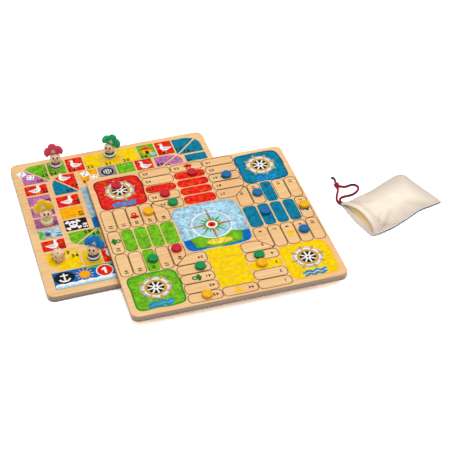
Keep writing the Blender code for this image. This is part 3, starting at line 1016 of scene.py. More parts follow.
def turned(profile, segments):
    """Closed solid of revolution about Z: rings of the profile's radii and heights, from
    the bottom up."""
    angle = round_angles(segments)
    circle = np.column_stack((np.cos(angle), np.sin(angle)))
    rings = np.empty((len(profile), segments, 3))
    rings[:, :, :2] = profile[:, 0, None, None] * circle[None]
    rings[:, :, 2] = profile[:, 1, None]
    return lofted(rings)


def toned(colour, share, power=1.0):
    """A colour made deeper or paler: its parts to a power, times a share."""
    return tuple(share * part**power for part in colour[:3]) + (1,)


def paint_finish(name, colour):
    """Gloss paint over turned wood: slight clouding, faint grain under a hard coat."""
    finish = Finish(name, {"Coat Weight": 0.12, "Coat Roughness": 0.12, "Specular IOR Level": 0.12})
    cloud = finish.noise(finish.place(), 220.0, 3.0)
    grain = finish.noise(finish.place(stretch=(60, 60, 900)), 3.0, 2.0)
    mottled = finish.mix(finish.span(cloud, 0.35, 0.65), toned(colour, 0.78), colour)
    return finish.coat(mottled, grain, (0.28, 0.4), grain, 0.00004)


def counter_profile(radius, height):
    """Half section from the foot up: two quarter rounds, and a dish that deepens by the
    square of the way in from its rim."""
    inner = radius - COUNTER_ROUND
    lower = arc((inner, COUNTER_ROUND), COUNTER_ROUND, -90, 0, 6)
    upper = arc((inner, height - COUNTER_ROUND), COUNTER_ROUND, 0, 90, 6)
    across = np.linspace(1, 0.05, 8)[1:]
    dish = np.column_stack((inner * across, height - COUNTER_DISH * (1 - across**2)))
    return np.concatenate((((0.0004, 0),), lower, upper, dish))


for colour, paint in PAINTS.items():
    gloss = paint_finish(f"gloss_{colour}", paint)
    for count in range(1, 5):
        node = f"counter_{colour}_{count}"
        low, high, foot = node_box(node)
        points, faces = turned(counter_profile((high[0] - low[0]) / 2, high[2] - low[2]), 48)
        make_piece(f"{node}_disc", (points + foot, faces), gloss, node, node)

# Pawns
# Each is a turned wooden figure, a ball head on a small domed body with painted
# stripes and face, and a two-cornered hat glued on top and leaning to one side.

HEAD_RADIUS = 0.0098
HEAD_HEIGHT = 0.0190
NECK_RADIUS = 0.0055
BASE_RADIUS = 0.0103
FOOT_ROUND = 0.0015
WAIST_HEIGHT = 0.0030
PAWN_TURNS = {"red": -8, "green": -29, "yellow": -6, "blue": -25}
HAT_LEANS = {"red": 9, "green": -18, "yellow": 14, "blue": -14}
SKIN = srgb(255, 222, 182)
SKIN_GRAIN = (0.90, 0.84, 0.78, 1)  # what the grain lets through
STRIPE_INKS = {
    "red": (srgb(112, 34, 84), srgb(255, 246, 246)),
    "green": (srgb(14, 62, 66), srgb(248, 255, 248)),
    "yellow": (srgb(232, 206, 96), srgb(255, 253, 226)),
    "blue": (srgb(8, 24, 62), srgb(248, 252, 255)),
}
# Heights of the painted bands above the foot: white, dark, white, dark, then skin
BANDS = (0.0026, 0.0057, 0.0085, 0.0110)
BAND_SPAN = 0.02  # height that the bands' colours are worked out over
HAT_PAINTS = {
    "red": srgb(226, 86, 110),
    "green": srgb(50, 186, 122),
    "yellow": srgb(255, 210, 44),
    "blue": srgb(0, 134, 205),
}
HAT_HALF_OUTLINE = np.array((
    (0.0000, 0.0313), (0.0050, 0.0296), (0.0078, 0.0247), (0.0116, 0.0238), (0.0158, 0.0187),
    (0.0169, 0.0110), (0.0139, 0.0061), (0.0086, 0.0080), (0.0000, 0.0102),
))
HAT_MIDDLE = np.array((0.0, 0.0175))
HAT_TOP = HAT_HALF_OUTLINE[:, 1].max()
HAT_LOW = HAT_HALF_OUTLINE[:, 1].min()
HAT_DEPTHS = (0.0048, 0.0034)  # half the thickness at the brim and at the top
# Where the side lobes fold against the middle one: place, slant, width and depth share
CREASE_PLACE, CREASE_SLANT, CREASE_WIDTH, CREASE_SHARE = 0.0078, 0.25, 0.0011, 0.34
CREASE_FOOT, CREASE_FULL = 0.006, 0.012  # heights where it starts and where it is deepest
LOBE_PLACE, LOBE_WIDTH, LOBE_SHARE = 0.0122, 0.0028, 0.14  # fuller side lobes
HAT_SEAT = HEAD_RADIUS + 0.0002
SOFT_EDGES = 60  # sharpest angle that a puffed or woven piece shades smooth, in degrees
EYE_RISE = math.radians(27)
EYE_SPREAD = math.radians(22)
EYE_RADII = (0.00185, 0.00185, 0.00195)
NOSE_RISE = math.radians(13)
NOSE_RADII = (0.0010, 0.0010, 0.0009)
SMILE_RISE = math.radians(-4)
SMILE_BEND, SMILE_SPREAD = 0.16, 0.36  # angles that its ends rise and spread by
SMILE_RADIUS = 0.00038
EMBLEM_FRONT = -0.86 * HAT_DEPTHS[0]
EMBLEM_RISE = 0.0188
EMBLEM_RADII = (0.0017, 0.0007, 0.0017)
BONE_REACH, BONE_RISE, BONE_SLOPE, BONE_RADIUS = 0.0032, 0.0155, 0.0012, 0.00055


def figure_profile():
    """Half section from the foot up: a rounded foot, a quarter ellipse up to the neck, and
    the ball head as a circular arc."""
    neck = HEAD_HEIGHT - math.sqrt(HEAD_RADIUS**2 - NECK_RADIUS**2)
    foot = arc((BASE_RADIUS - FOOT_ROUND, FOOT_ROUND), FOOT_ROUND, -90, 0, 6)
    angle = np.radians(np.linspace(0, 90, 14))
    dome = np.column_stack((
        NECK_RADIUS + (BASE_RADIUS - NECK_RADIUS) * np.cos(angle),
        WAIST_HEIGHT + (neck - WAIST_HEIGHT) * np.sin(angle),
    ))
    start = math.degrees(math.asin((neck - HEAD_HEIGHT) / HEAD_RADIUS))
    head = arc((0, HEAD_HEIGHT), HEAD_RADIUS, start + 4, 88, 26)
    return np.concatenate((((0.0005, 0),), foot, dome, head))


def figure_finish(name, dark, white, base):
    """Painted bands by height round the body, and bare varnished wood on the head."""
    finish = Finish(name, {"Coat Weight": 0.25, "Coat Roughness": 0.15})
    wobble = finish.noise(finish.place(), 160.0, 2.0)
    level = finish.span(finish.height() + wobble * 0.0003, base, base + BAND_SPAN)
    edges = [edge / BAND_SPAN for edge in BANDS]
    stops = [(0.0, white), *zip(edges, (dark, white, dark, SKIN))]
    bands = finish.node("ShaderNodeValToRGB", {"interpolation": "CONSTANT", "stops": stops}, {0: level})
    grain = finish.noise(finish.place(stretch=(120, 120, 14)), 6.0, 3.0)
    shade = finish.mix(1.0, bands, SKIN_GRAIN, "MULTIPLY")
    bare = finish.span(level, edges[-1], edges[-1] + 0.01, 0.05, 0.8)
    colour = finish.mix(finish.span(grain, 0.4, 0.7) * bare, bands, shade)
    return finish.coat(colour, grain, (0.3, 0.42), grain, 0.00005)


def bell(value, middle, width):
    """A bell curve: one at the middle, fading by the square of the way over the width."""
    return np.exp(-(((value - middle) / width) ** 2))


def ramp(value, start, end):
    """Zero up to the start, one from the end on, and straight between them."""
    return np.clip((value - start) / (end - start), 0, 1)


def hat_points():
    """A puffed hat about the head's centre: the lobed outline, drawn in towards its middle by
    a superellipse from the back face over the rim to the front face. The thickness falls with
    height and dips at the creases, and points inside the head move out to its seat."""
    left = HAT_HALF_OUTLINE[-2:0:-1] * (-1, 1)
    outline = smooth_loop(np.concatenate((HAT_HALF_OUTLINE, left)))[::-1]
    sweep = np.linspace(-math.pi / 2, math.pi / 2, 31)[1:-1]
    size = np.cos(sweep) ** 0.55
    depth = np.sign(np.sin(sweep)) * np.abs(np.sin(sweep)) ** 0.8
    flat = HAT_MIDDLE + (outline - HAT_MIDDLE)[None] * size[:, None, None]
    x, z = flat[..., 0], flat[..., 1]
    half = HAT_DEPTHS[0] + (HAT_DEPTHS[1] - HAT_DEPTHS[0]) * ramp(z, HAT_LOW, HAT_TOP)
    crease = bell(np.abs(x) - CREASE_SLANT * (CREASE_FULL - z), CREASE_PLACE, CREASE_WIDTH)
    half = half * (1 - CREASE_SHARE * crease * ramp(z, CREASE_FOOT, CREASE_FULL))
    half = half * (1 + LOBE_SHARE * bell(np.abs(x), LOBE_PLACE, LOBE_WIDTH))
    points = np.stack((x, -depth[:, None] * half, z), axis=-1)
    far = np.linalg.norm(points, axis=-1, keepdims=True)
    return points * np.maximum(1, HAT_SEAT / far)


def hat_finish(name, colour):
    """Satin paint on the hat, clouded at random with a deeper tone."""
    finish = Finish(name, {"Coat Weight": 0.1, "Coat Roughness": 0.25, "Specular IOR Level": 0.2})
    cloud = finish.noise(finish.place(), 300.0, 3.0)
    mottled = finish.mix(finish.span(cloud, 0.3, 0.7), toned(colour, 0.86, 1.25), colour)
    return finish.coat(mottled, cloud, (0.36, 0.5), cloud, 0.00012)


def pawn_place(points, centre, turn, lean=0.0):
    """Lean points sideways about the head's centre, then turn them and set them on the pawn."""
    tilt = np.array(Matrix.Rotation(math.radians(-lean), 3, "Y"))
    return set_down(points @ tilt.T, centre, math.radians(turn))


def ball(centre, radii, rows=10, columns=14):
    """An ellipsoid: rings from near the bottom pole to near the top."""
    rise = np.linspace(-math.pi / 2, math.pi / 2, rows + 2)[1:-1, None]
    angle = round_angles(columns)
    parts = (np.cos(rise) * np.cos(angle), np.cos(rise) * np.sin(angle), np.sin(rise))
    rings = np.stack(np.broadcast_arrays(*parts), axis=-1)
    return lofted(rings * np.array(radii) + np.array(centre))


def on_head(rise, side, lift=0.0):
    """Points of the face: angles above the equator and to the side, and a lift off it."""
    reach = HEAD_RADIUS + lift
    flat = reach * np.cos(rise)
    return np.stack((flat * np.sin(side), -flat * np.cos(side), reach * np.sin(rise)), axis=-1)


def tube(path, radius, sides=8):
    """A round tube along a path: each ring stands square to the path, carried on without twist."""
    path = np.asarray(path, float)
    along = unit(np.gradient(path, axis=0))
    up = (0.0, 0.0, 1.0) if abs(along[0, 2]) < 0.9 else (0.0, 1.0, 0.0)
    across = unit(np.cross(up, along))
    over = np.cross(along, across)
    angle = round_angles(sides)[None, :, None]
    reach = np.broadcast_to(np.asarray(radius, float), len(path))[:, None, None]
    return path[:, None] + reach * (across[:, None] * np.cos(angle) + over[:, None] * np.sin(angle))


def joined(solids):
    """Points and faces of several solids as one list."""
    starts = np.cumsum([0] + [len(points) for points, _ in solids])
    faces = [[i + start for i in face] for (_, shape), start in zip(solids, starts) for face in shape]
    return np.concatenate([points for points, _ in solids]), faces


def dab_finish(name, colour, rough):
    """A dab of paint or a dyed thread: slightly clouded, with an uneven gloss."""
    finish = Finish(name)
    cloud = finish.noise(finish.place(), 900.0, 2.0)
    mottled = finish.mix(finish.span(cloud, 0.35, 0.65), toned(colour, 0.80), toned(colour, 1.14))
    return finish.coat(mottled, cloud, (rough - 0.06, rough + 0.06), cloud, 0.00003)


eye_finish = dab_finish("eye_black", srgb(20, 12, 12), 0.25)
face_finish = dab_finish("face_paint", srgb(176, 84, 62), 0.4)
bone_finish = dab_finish("emblem_white", srgb(238, 226, 214), 0.5)
share = np.linspace(-1, 1, 13)
smile = on_head(SMILE_RISE + SMILE_BEND * share * share, SMILE_SPREAD * share, 0.0001)
share = np.linspace(-1, 1, 9)
front = np.full(9, EMBLEM_FRONT)
emblem = [ball((0, EMBLEM_FRONT, EMBLEM_RISE), EMBLEM_RADII)]
for slope in (-BONE_SLOPE, BONE_SLOPE):
    bone = np.column_stack((-BONE_REACH * share, front, BONE_RISE - slope * share))
    emblem.append(lofted(tube(bone, BONE_RADIUS)))
eyes = joined([ball(on_head(EYE_RISE, side * EYE_SPREAD), EYE_RADII) for side in (-1, 1)])
face = joined([ball(on_head(NOSE_RISE, 0), NOSE_RADII), lofted(tube(smile, SMILE_RADIUS))])
# Small pieces on a head, and whether they lean with the hat
HEAD_PIECES = (
    ("eyes", eyes, eye_finish, False),
    ("nose_and_smile", face, face_finish, False),
    ("hat_emblem", joined(emblem), bone_finish, True),
)
figure_points, figure_faces = turned(figure_profile(), 64)
hat_shape, hat_faces = lofted(hat_points())
for colour in PAINTS:
    body, slot = f"pawn_{colour}", f"paint_{colour}"
    turn, lean = PAWN_TURNS[colour], HAT_LEANS[colour]
    foot = node_box(f"{body}_figure")[2]
    head = foot + (0, 0, HEAD_HEIGHT)
    solid = (figure_points + foot, figure_faces)
    paint = figure_finish(f"{body}_paint", *STRIPE_INKS[colour], foot[2])
    make_piece(f"{body}_turned_figure", solid, paint, body, f"{body}_figure")
    solid = (pawn_place(hat_shape, head, turn, lean), hat_faces)
    paint = hat_finish(f"{body}_hat_paint", HAT_PAINTS[colour])
    make_piece(f"{body}_puffed_hat", solid, paint, body, f"{body}_hat", SOFT_EDGES)
    for name, (points, faces), finish, leans in HEAD_PIECES:
        solid = (pawn_place(points, head, turn, lean if leans else 0.0), faces)
        make_piece(f"{body}_{name}", solid, finish, body)

# Die
# A small hardwood cube with generously rounded edges, varnished, with painted pips
# set in shallow hollows. Opposite faces add up to seven.

DIE_ROUND = 0.0045
DIE_TURN = math.radians(33)
DIE_GRID = 17
PIP_RADIUS = 0.00175
PIP_STEP = 0.0041
PIP_SUNK = 0.0002
PIP_DEPTH = 0.0004
# Whether pips are on the top face, their name and paint: one pip paint, painted lighter and redder on the
# lit top face and darker on the shaded sides
PIP_PAINTS = ((True, "die_lit_top_pips", srgb(150, 48, 30)), (False, "die_shaded_side_pips", srgb(40, 24, 26)))
DIE_PALE = srgb(240, 208, 164)
DIE_DARK = srgb(216, 174, 124)
PIPS = {
    1: ((0, 0),),
    2: ((-1, -1), (1, 1)),
    3: ((-1, -1), (0, 0), (1, 1)),
    4: ((-1, -1), (-1, 1), (1, -1), (1, 1)),
    5: ((-1, -1), (-1, 1), (0, 0), (1, -1), (1, 1)),
    6: ((-1, -1), (-1, 0), (-1, 1), (1, -1), (1, 0), (1, 1)),
}
# Faces by the axis they look along, and their numbers
DIE_FACES = {(0, 0, 1): 2, (0, 0, -1): 5, (0, -1, 0): 1, (0, 1, 0): 6, (-1, 0, 0): 4, (1, 0, 0): 3}

die_low, die_high, _ = node_box("die")
die_middle = (die_low + die_high) / 2
die_half = (die_high[2] - die_low[2]) / 2


def die_axes(normal):
    """Two directions across a face of the die."""
    across = np.roll(np.array(normal, float), 1)
    return across, np.cross(normal, across)


def die_solid():
    """A rounded cube: points on a cube's faces, held to a core smaller by the rounding, and
    moved out from it by the rounding along the way that was cut off."""
    spread = np.sin(np.linspace(-1, 1, DIE_GRID) * math.pi / 2)
    u, v = np.meshgrid(spread, spread)
    solids = []
    for normal in DIE_FACES:
        across, over = die_axes(normal)
        cube = (np.array(normal) + u[..., None] * across + v[..., None] * over) * die_half
        core = np.clip(cube, -die_half + DIE_ROUND, die_half - DIE_ROUND)
        points = core + DIE_ROUND * unit(cube - core)
        solids.append((points.reshape(-1, 3), grid_faces(DIE_GRID, DIE_GRID, closed=False)))
    points, faces = joined(solids)
    mesh = bpy.data.meshes.new("die")
    mesh.from_pydata(points.tolist(), [], faces)
    return merged(mesh, 1e-6)


die_finish = Finish("die_wood", {"Coat Weight": 0.3, "Coat Roughness": 0.15})
die_grain = die_finish.noise(die_finish.place(stretch=(30, 300, 300), turn=-DIE_TURN), 2.0, 3.0)
die_colour = die_finish.mix(die_finish.span(die_grain, 0.35, 0.68), DIE_PALE, DIE_DARK)
die_finish.coat(die_colour, die_grain, (0.3, 0.44), die_grain, 0.00005)
points, faces = die_solid()
solid = (set_down(points, die_middle, DIE_TURN), faces)
make_piece("die_cube", solid, die_finish, "die", "die", SOFT_EDGES)
for on_top, name, colour in PIP_PAINTS:
    solids = []
    for normal, count in DIE_FACES.items():
        if (normal[2] == 1) != on_top:
            continue
        across, over = die_axes(normal)
        for u, v in PIPS[count]:
            centre = np.array(normal) * (die_half - PIP_SUNK) + PIP_STEP * (u * across + v * over)
            radii = np.where(np.array(normal) != 0, PIP_DEPTH, PIP_RADIUS)
            solids.append(ball(centre, radii, 6, 16))
    points, faces = joined(solids)
    solid = (set_down(points, die_middle, DIE_TURN), faces)
    make_piece(name, solid, dab_finish(name, colour, 0.35), "die")

# Pouch
# Two rectangles of unbleached cotton sewn along three sides and turned right side
# out. The mouth has a wide hem, held by a double row of stitches, as the cord's tunnel.

BAG_LENGTH = 0.142
BAG_WIDTH = 0.092
# Corners from the middle of the mouth: mouth right, mouth left, far right and far left
BAG_CORNERS = np.array(((-0.0055, -0.0465), (0.0046, 0.0452), (0.1435, -0.0490), (0.1420, 0.0460)))
# Rounding of the far left corner and of the mouth's near one, and the shares of the length
# and of the half width where it starts
CORNER_CUT, CORNER_START = 0.0060, (0.86, 0.7)
MOUTH_CUT, MOUTH_START = 0.0048, (0.09, -0.80)
# Where the sides are drawn in: depth, then place and spread as shares of the length
RIGHT_DRAWN = ((0.0050, 0.70, 0.18), (-0.0014, 0.25, 0.12))
LEFT_DRAWN = ((0.0022, 0.45, 0.20),)
MOUTH_LIFT = 0.0012  # of the seam at the ends of the mouth
FAR_LIFTS = (0.0045, -0.0012)  # of the seam at the far left and far right corner
LIP_BACK = 0.0060  # how far the arched upper lip draws back from the lower one
LIP_BOW = 0.0055  # how far the lower lip bows out between the mouth's ends
BOW_MIDDLE, BOW_HALF = -0.25, 1.3  # of that bow, as shares of the half width
BOW_FADE = 0.018  # from the mouth
BAG_PLACE = (0.3584, -0.1344, 0.0)  # of the middle of the mouth
BAG_TURN = math.radians(20.2)
CLOTH = 0.0007
SEAM_HEIGHT = 0.0040
SEAM_RADIUS = 0.0014  # of the rounded ridge that the turned seam makes
SEAM_TIP, SEAM_TAPER = 0.4, 6  # its share of that at the mouth, and the points that it swells over
SEAM_END = 8  # row of the mesh where it ends, clear of the cord
HEM = 0.0105
LOWER_HEM = 0.0080
HEM_PUFF = 0.0012  # how much the tunnel and its cord swell the hem on each side
HEM_STEP = 0.001  # between the rows of the cloth's mesh over the hem
HEM_ROWS = 18
HEM_END = 0.019
BODY_ROWS = 57
UPPER_STITCHES = (11, 16)  # rows of the mesh
LOWER_STITCHES = (8,)
RISE_MOUTH = 0.0125
RISE_BODY = 0.0090
ARCH_POWER = 0.75  # of the arch's cosine; a smaller one is fuller
ARCH_LEAN = (0.15, -0.32)  # added at the mouth, on its left and right half
TURN_UP = (0.78, 0.90)  # shares of the half width and length where the lower cloth turns up
CLOSED_SHARE = 0.16  # of the half width, where the hem lies shut at the mouth's near end
SHUT_SHARE = 0.12  # over which the side seam draws the tunnel shut there
TUNNEL_END = 1.2  # how much fuller the tunnel is where the cord leaves it
TUNNEL_REACH = (0.0030, -0.0016)  # how far its lip reaches out over the cord there
STITCH_GROOVE = 0.0005
GROOVE_WIDTH = 0.0012
# Most share of painted shade in the deepest fold
CREASE_SHADE_SHARE = 0.60
BAG_COLUMNS = 47
EASE = 0.03  # spare cloth that gathers along the seams
PUCKER = 0.0007
PUCKER_STEP = 0.0062
PUCKER_PLACE = 0.020
PUCKER_WIDTH = 0.0055
# Soft folds of the upper cloth: from, to, depth and width
FOLDS = (
    ((0.021, -0.039), (0.062, -0.013), 0.0032, 0.0034),
    ((0.018, -0.028), (0.044, -0.006), 0.0022, 0.0028),
    ((0.020, 0.030), (0.052, 0.020), 0.0014, 0.0045),
    ((0.118, -0.040), (0.088, -0.010), 0.0016, 0.0060),
    ((0.070, -0.044), (0.080, -0.020), 0.0014, 0.0040),
)
SETTLE_FRAMES = 24
SETTLE_MOST = 0.006
CLOTH_SETTINGS = {
    "quality": 6,
    "mass": 0.02,
    "tension_stiffness": 12,
    "compression_stiffness": 12,
    "shear_stiffness": 6,
    "bending_stiffness": 0.08,
    "vertex_group_mass": "held",
    "shrink_min": -EASE,
    "use_pressure": True,
    "uniform_pressure_force": 0.35,
}
THREAD_WAVE = 2 * math.pi / 0.0009
STITCH = 0.0024
STITCH_SPOTS = (0.12, 0.5, 0.82)  # start, crown and end of a thread, as shares of a stitch
STITCH_RADIUS = 0.00034
STITCH_LIFT = 0.0002  # off the cloth's face
COTTON_PALE = srgb(255, 247, 226)
COTTON_DEEP = srgb(246, 230, 208)
# The next four colours are painted shade: greyer towards the seams and on the lips, darker in the folds,
# browner inside past the hem, and dark along the foot of low edges as their contact shadow
COTTON_EDGE_SHADE = srgb(206, 190, 180)
COTTON_CREASE_SHADE = srgb(182, 158, 140)
COTTON_SHADED = srgb(242, 222, 178)
COTTON_FOOT_SHADE = srgb(76, 64, 60)
THREAD = srgb(228, 148, 124)


def bag_place(points):
    """Points of the pouch's own plan, mouth at x = 0, set where it lies."""
    return set_down(points, BAG_PLACE, BAG_TURN)


def bag_plan():
    """Plan of a panel: rows from the mouth, close together over the hem, and the width. The
    sides are drawn in between their corners by bell curves, and two corners are rounded."""
    hem_rows = np.arange(HEM_ROWS) * HEM_STEP
    rows = np.concatenate((hem_rows, np.linspace(HEM_END, BAG_LENGTH, BODY_ROWS))) / BAG_LENGTH
    u, v = np.meshgrid(rows, np.linspace(-1, 1, BAG_COLUMNS), indexing="ij")
    right, left = (1 - v) / 2, (1 + v) / 2
    shares = np.stack(((1 - u) * right, (1 - u) * left, u * right, u * left), axis=-1)
    cut = CORNER_CUT * ramp(u, CORNER_START[0], 1) ** 2 * ramp(v, CORNER_START[1], 1) ** 2
    x, y = np.moveaxis(shares @ BAG_CORNERS - cut[..., None], -1, 0)
    x = x + MOUTH_CUT * ramp(u, MOUTH_START[0], 0) ** 2 * ramp(v, MOUTH_START[1], -1) ** 2
    for way, share, drawn in ((1, right, RIGHT_DRAWN), (-1, left, LEFT_DRAWN)):
        y = y + way * share**2 * sum(deep * bell(u, *spot) for deep, *spot in drawn)
    return u, v, x, y


def seam_level(u, v):
    """Height of the seam: lifted a little off the ground, more at the ends of the mouth, and
    most at the far left corner."""
    mouth_end = MOUTH_LIFT * bell(u * BAG_LENGTH, 0, HEM) * v**4
    far_end = u**3 * np.where(v > 0, *FAR_LIFTS) * v**2
    return SEAM_HEIGHT + mouth_end + far_end


def hem_puff(u, v, width):
    """Swelling of a hem by its tunnel: the root of a sine over its width, drawn shut by the
    side seam at the mouth's near end."""
    shut = np.sqrt(ramp(v, -1, SHUT_SHARE - 1))
    return HEM_PUFF * shut * np.sqrt(np.sin(math.pi * ramp(u * BAG_LENGTH, 0, width)))


def upper_panel():
    """Height of the upper cloth: an arch between the side seams, highest and fullest on the
    near side of the mouth, that closes down to the far seam. The mouth is pinched shut for a
    short way at its near end."""
    u, v, x, y = bag_plan()
    rise = RISE_BODY + (RISE_MOUTH - RISE_BODY) * (1 - u) ** 3
    rise = rise * (1 - u**5)
    fullness = ARCH_POWER + np.where(v > 0, *ARCH_LEAN) * (1 - u) ** 6
    closed = 1 - CLOSED_SHARE * (1 - u) ** 6 * (v < 0)
    arch = np.clip(np.cos(np.clip(v / closed, -1, 1) * math.pi / 2), 0, 1) ** fullness
    over = ramp(u, 0.1, 0) ** 2 * ramp(v, 0.8, 1) ** 2
    x = x + LIP_BACK * arch * (1 - u) ** 3 - TUNNEL_REACH[0] * over
    return np.stack((x, y - TUNNEL_REACH[1] * over, seam_level(u, v) + rise * arch), axis=-1)


def fold_depth(x, y):
    """How deep folds press the upper cloth: a bell curve across each fold's line, fading along
    it, and puckers along the hem's stitches as a sine that fades away from them."""
    waves = 1 + np.sin(2 * math.pi * y / PUCKER_STEP + 40 * x)
    depth = PUCKER * waves * bell(x, PUCKER_PLACE, PUCKER_WIDTH)
    for start, end, deep, width in FOLDS:
        start, line = np.array(start), np.subtract(end, start)
        spot = np.stack((x, y), axis=-1) - start
        share = np.clip(spot @ line / (line @ line), 0, 1)
        off = np.linalg.norm(spot - share[..., None] * line, axis=-1)
        depth = depth + deep * (1 - share) ** 0.5 * bell(off, 0, width)
    return depth * ramp(np.abs(y) * 2 / BAG_WIDTH, 1, 0.85)


def lower_panel():
    """Height of the lower cloth: flat on the ground, turned up to the seams, but not where the
    cord leaves the mouth. Its lip bows out by a parabola that fades away from the mouth."""
    u, v, x, y = bag_plan()
    side, far = ramp(np.abs(v), TURN_UP[0], 1), ramp(u, TURN_UP[1], 1)
    mouth = ramp(u * BAG_LENGTH, 1.6 * HEM, 0) * (v > 0)
    lift = np.maximum(side * (1 - mouth), far) * (seam_level(u, v) - 1.7 * CLOTH)
    bow = LIP_BOW * (1 - ((v - BOW_MIDDLE) / BOW_HALF) ** 2) * np.exp(-u * BAG_LENGTH / BOW_FADE)
    return np.stack((x - bow, y, CLOTH * 0.6 + lift + 0.8 * hem_puff(u, v, LOWER_HEM)), axis=-1)


def settled(panel):
    """Let the upper cloth settle: a cloth simulation with its seams held, the hem stiff, a
    little spare length and slight air inside, so that it puckers along the seams."""
    mesh = bpy.data.meshes.new("settling")
    mesh.from_pydata(panel.reshape(-1, 3).tolist(), [], grid_faces(*panel.shape[:2], closed=False))
    cloth_piece = add_object("settling", mesh)
    u, v, _, _ = bag_plan()
    held = (np.abs(v) > 0.999) | (u > 0.999) | (u * BAG_LENGTH < 1.4 * HEM)
    group = cloth_piece.vertex_groups.new(name="held")
    group.add(np.flatnonzero(held).tolist(), 1.0, "REPLACE")
    cloth = cloth_piece.modifiers.new("cloth", "CLOTH")
    for key, value in CLOTH_SETTINGS.items():
        setattr(cloth.settings, key, value)
    cloth.settings.effector_weights.gravity = 0.4
    cloth.point_cache.frame_end = SETTLE_FRAMES
    for step in range(1, SETTLE_FRAMES + 1):
        bpy.context.scene.frame_set(step)
    shape = cloth_piece.evaluated_get(bpy.context.evaluated_depsgraph_get()).to_mesh()
    points = np.empty(len(shape.vertices) * 3)
    shape.vertices.foreach_get("co", points)
    bpy.context.scene.frame_set(1)
    bpy.data.objects.remove(cloth_piece)
    laid = panel + np.clip(points.reshape(panel.shape) - panel, -SETTLE_MOST, SETTLE_MOST)
    least = np.minimum(panel[..., 2], lower_panel()[..., 2] + 2 * CLOTH)
    laid[..., 2] = np.maximum(laid[..., 2], least)
    return laid


def shell(middle, thickness):
    """A closed thin shell about a grid of points: half the thickness to each side along the
    surface normal, and a strip round the edge."""
    normal = unit(np.cross(np.gradient(middle, axis=0), np.gradient(middle, axis=1)))
    half = thickness[..., None] / 2
    rows, columns = middle.shape[:2]
    outer, inner = middle + normal * half, middle - normal * half
    faces = grid_faces(rows, columns, closed=False)
    count = rows * columns
    top = [face[::-1] for face in faces]
    under = [[index + count for index in face] for face in faces]
    index = np.arange(count).reshape(rows, columns)
    rim = np.concatenate((index[0, :-1], index[:-1, -1], index[-1, :0:-1], index[:0:-1, 0]))
    after = np.roll(rim, -1)
    edge = np.column_stack((rim, after, after + count, rim + count)).tolist()
    return np.concatenate((outer.reshape(-1, 3), inner.reshape(-1, 3))), top + under + edge


def cotton_finish(name, inner=False, foot=False):
    """Unbleached plain weave: crossing threads with slubs, and a soft nap. Painted shade greys it
    towards the seams and in the folds, browns the inner face past the hem, with a faint painted
    glow there, and darkens the foot of an edge that lies on the ground as its contact shadow."""
    finish = Finish(name, {"Roughness": 0.92, "Sheen Weight": 0.15, "Specular IOR Level": 0.2})
    weave_uv = finish.node("ShaderNodeUVMap", {"uv_map": "weave"})
    length, width = (finish.axis(weave_uv, axis) for axis in "XY")
    crossing = (length * THREAD_WAVE).sine() * (width * THREAD_WAVE).sine()
    slub_place = finish.node("ShaderNodeMapping", sockets={0: weave_uv, "Scale": (60, 900, 1)})
    slub = finish.noise(slub_place, 1.0, 3.0)
    cloud = finish.noise(finish.place(), 45.0, 3.0)
    weave = crossing * 0.25 + slub * 0.5
    tone = finish.span(cloud * 0.6 + weave * 0.4, 0.2, 0.62)
    colour = finish.mix(tone, COTTON_DEEP, COTTON_PALE)
    # Painted shade: the cloth greys towards its side seams and its far end
    edge = finish.span(abs(width), 0.010, BAG_WIDTH / 2).most(finish.span(length, 0.115, BAG_LENGTH))
    colour = finish.mix(edge * 0.8, colour, COTTON_EDGE_SHADE)
    # Painted shade in the folds, carried by the crease attribute
    colour = finish.mix(finish.attribute("crease"), colour, COTTON_CREASE_SHADE)
    upward = finish.upward()
    if inner:
        # Painted shade: the inner face past the hem is browner
        inside = (upward > 0.2) * finish.span(length, 0.8 * LOWER_HEM, 1.1 * LOWER_HEM)
        colour = finish.mix(inside, colour, COTTON_SHADED)
        # Painted shade along the lower lip's edge at the mouth
        lip = finish.span(length, LOWER_HEM, 0.4 * LOWER_HEM, 0.0, 0.7)
        colour = finish.mix(lip, colour, COTTON_EDGE_SHADE)
        # A faint painted glow there, in the shaded colour
        through = finish.mix(inside, (0, 0, 0, 1), COTTON_SHADED)
        finish.set({"Emission Color": through, "Emission Strength": 0.2})
    # Painted shade greys the seam ridge all over
    if foot and not inner:
        colour = finish.mix(0.45, colour, COTTON_EDGE_SHADE)
    # Painted shadow: faces of a low edge that turn down and out, and the lower lip's underside at the mouth,
    # darken as a contact shadow
    if foot:
        foot_shade = finish.span(upward, 0.82, 0.52) * finish.span(finish.height(), 0.0060, 0.0045)
        if inner:
            foot_shade = foot_shade * finish.span(length, HEM, 1.6 * HEM)
            foot_shade = foot_shade + finish.span(length, HEM, 0.5 * HEM) * finish.span(upward, 0.2, -0.2)
        colour = finish.mix(foot_shade, colour, COTTON_FOOT_SHADE)
    finish.set({"Base Color": colour})
    finish.bump(weave, 0.00012, 0.5)
    return finish


def add_map(piece, name, flat):
    """Write flat places of a piece's points as its UV map, corner by corner."""
    corner = np.empty(len(piece.data.loops), np.int32)
    piece.data.loops.foreach_get("vertex_index", corner)
    layer = piece.data.uv_layers.new(name=name)
    layer.data.foreach_set("uv", flat[corner].astype(np.float32).ravel())


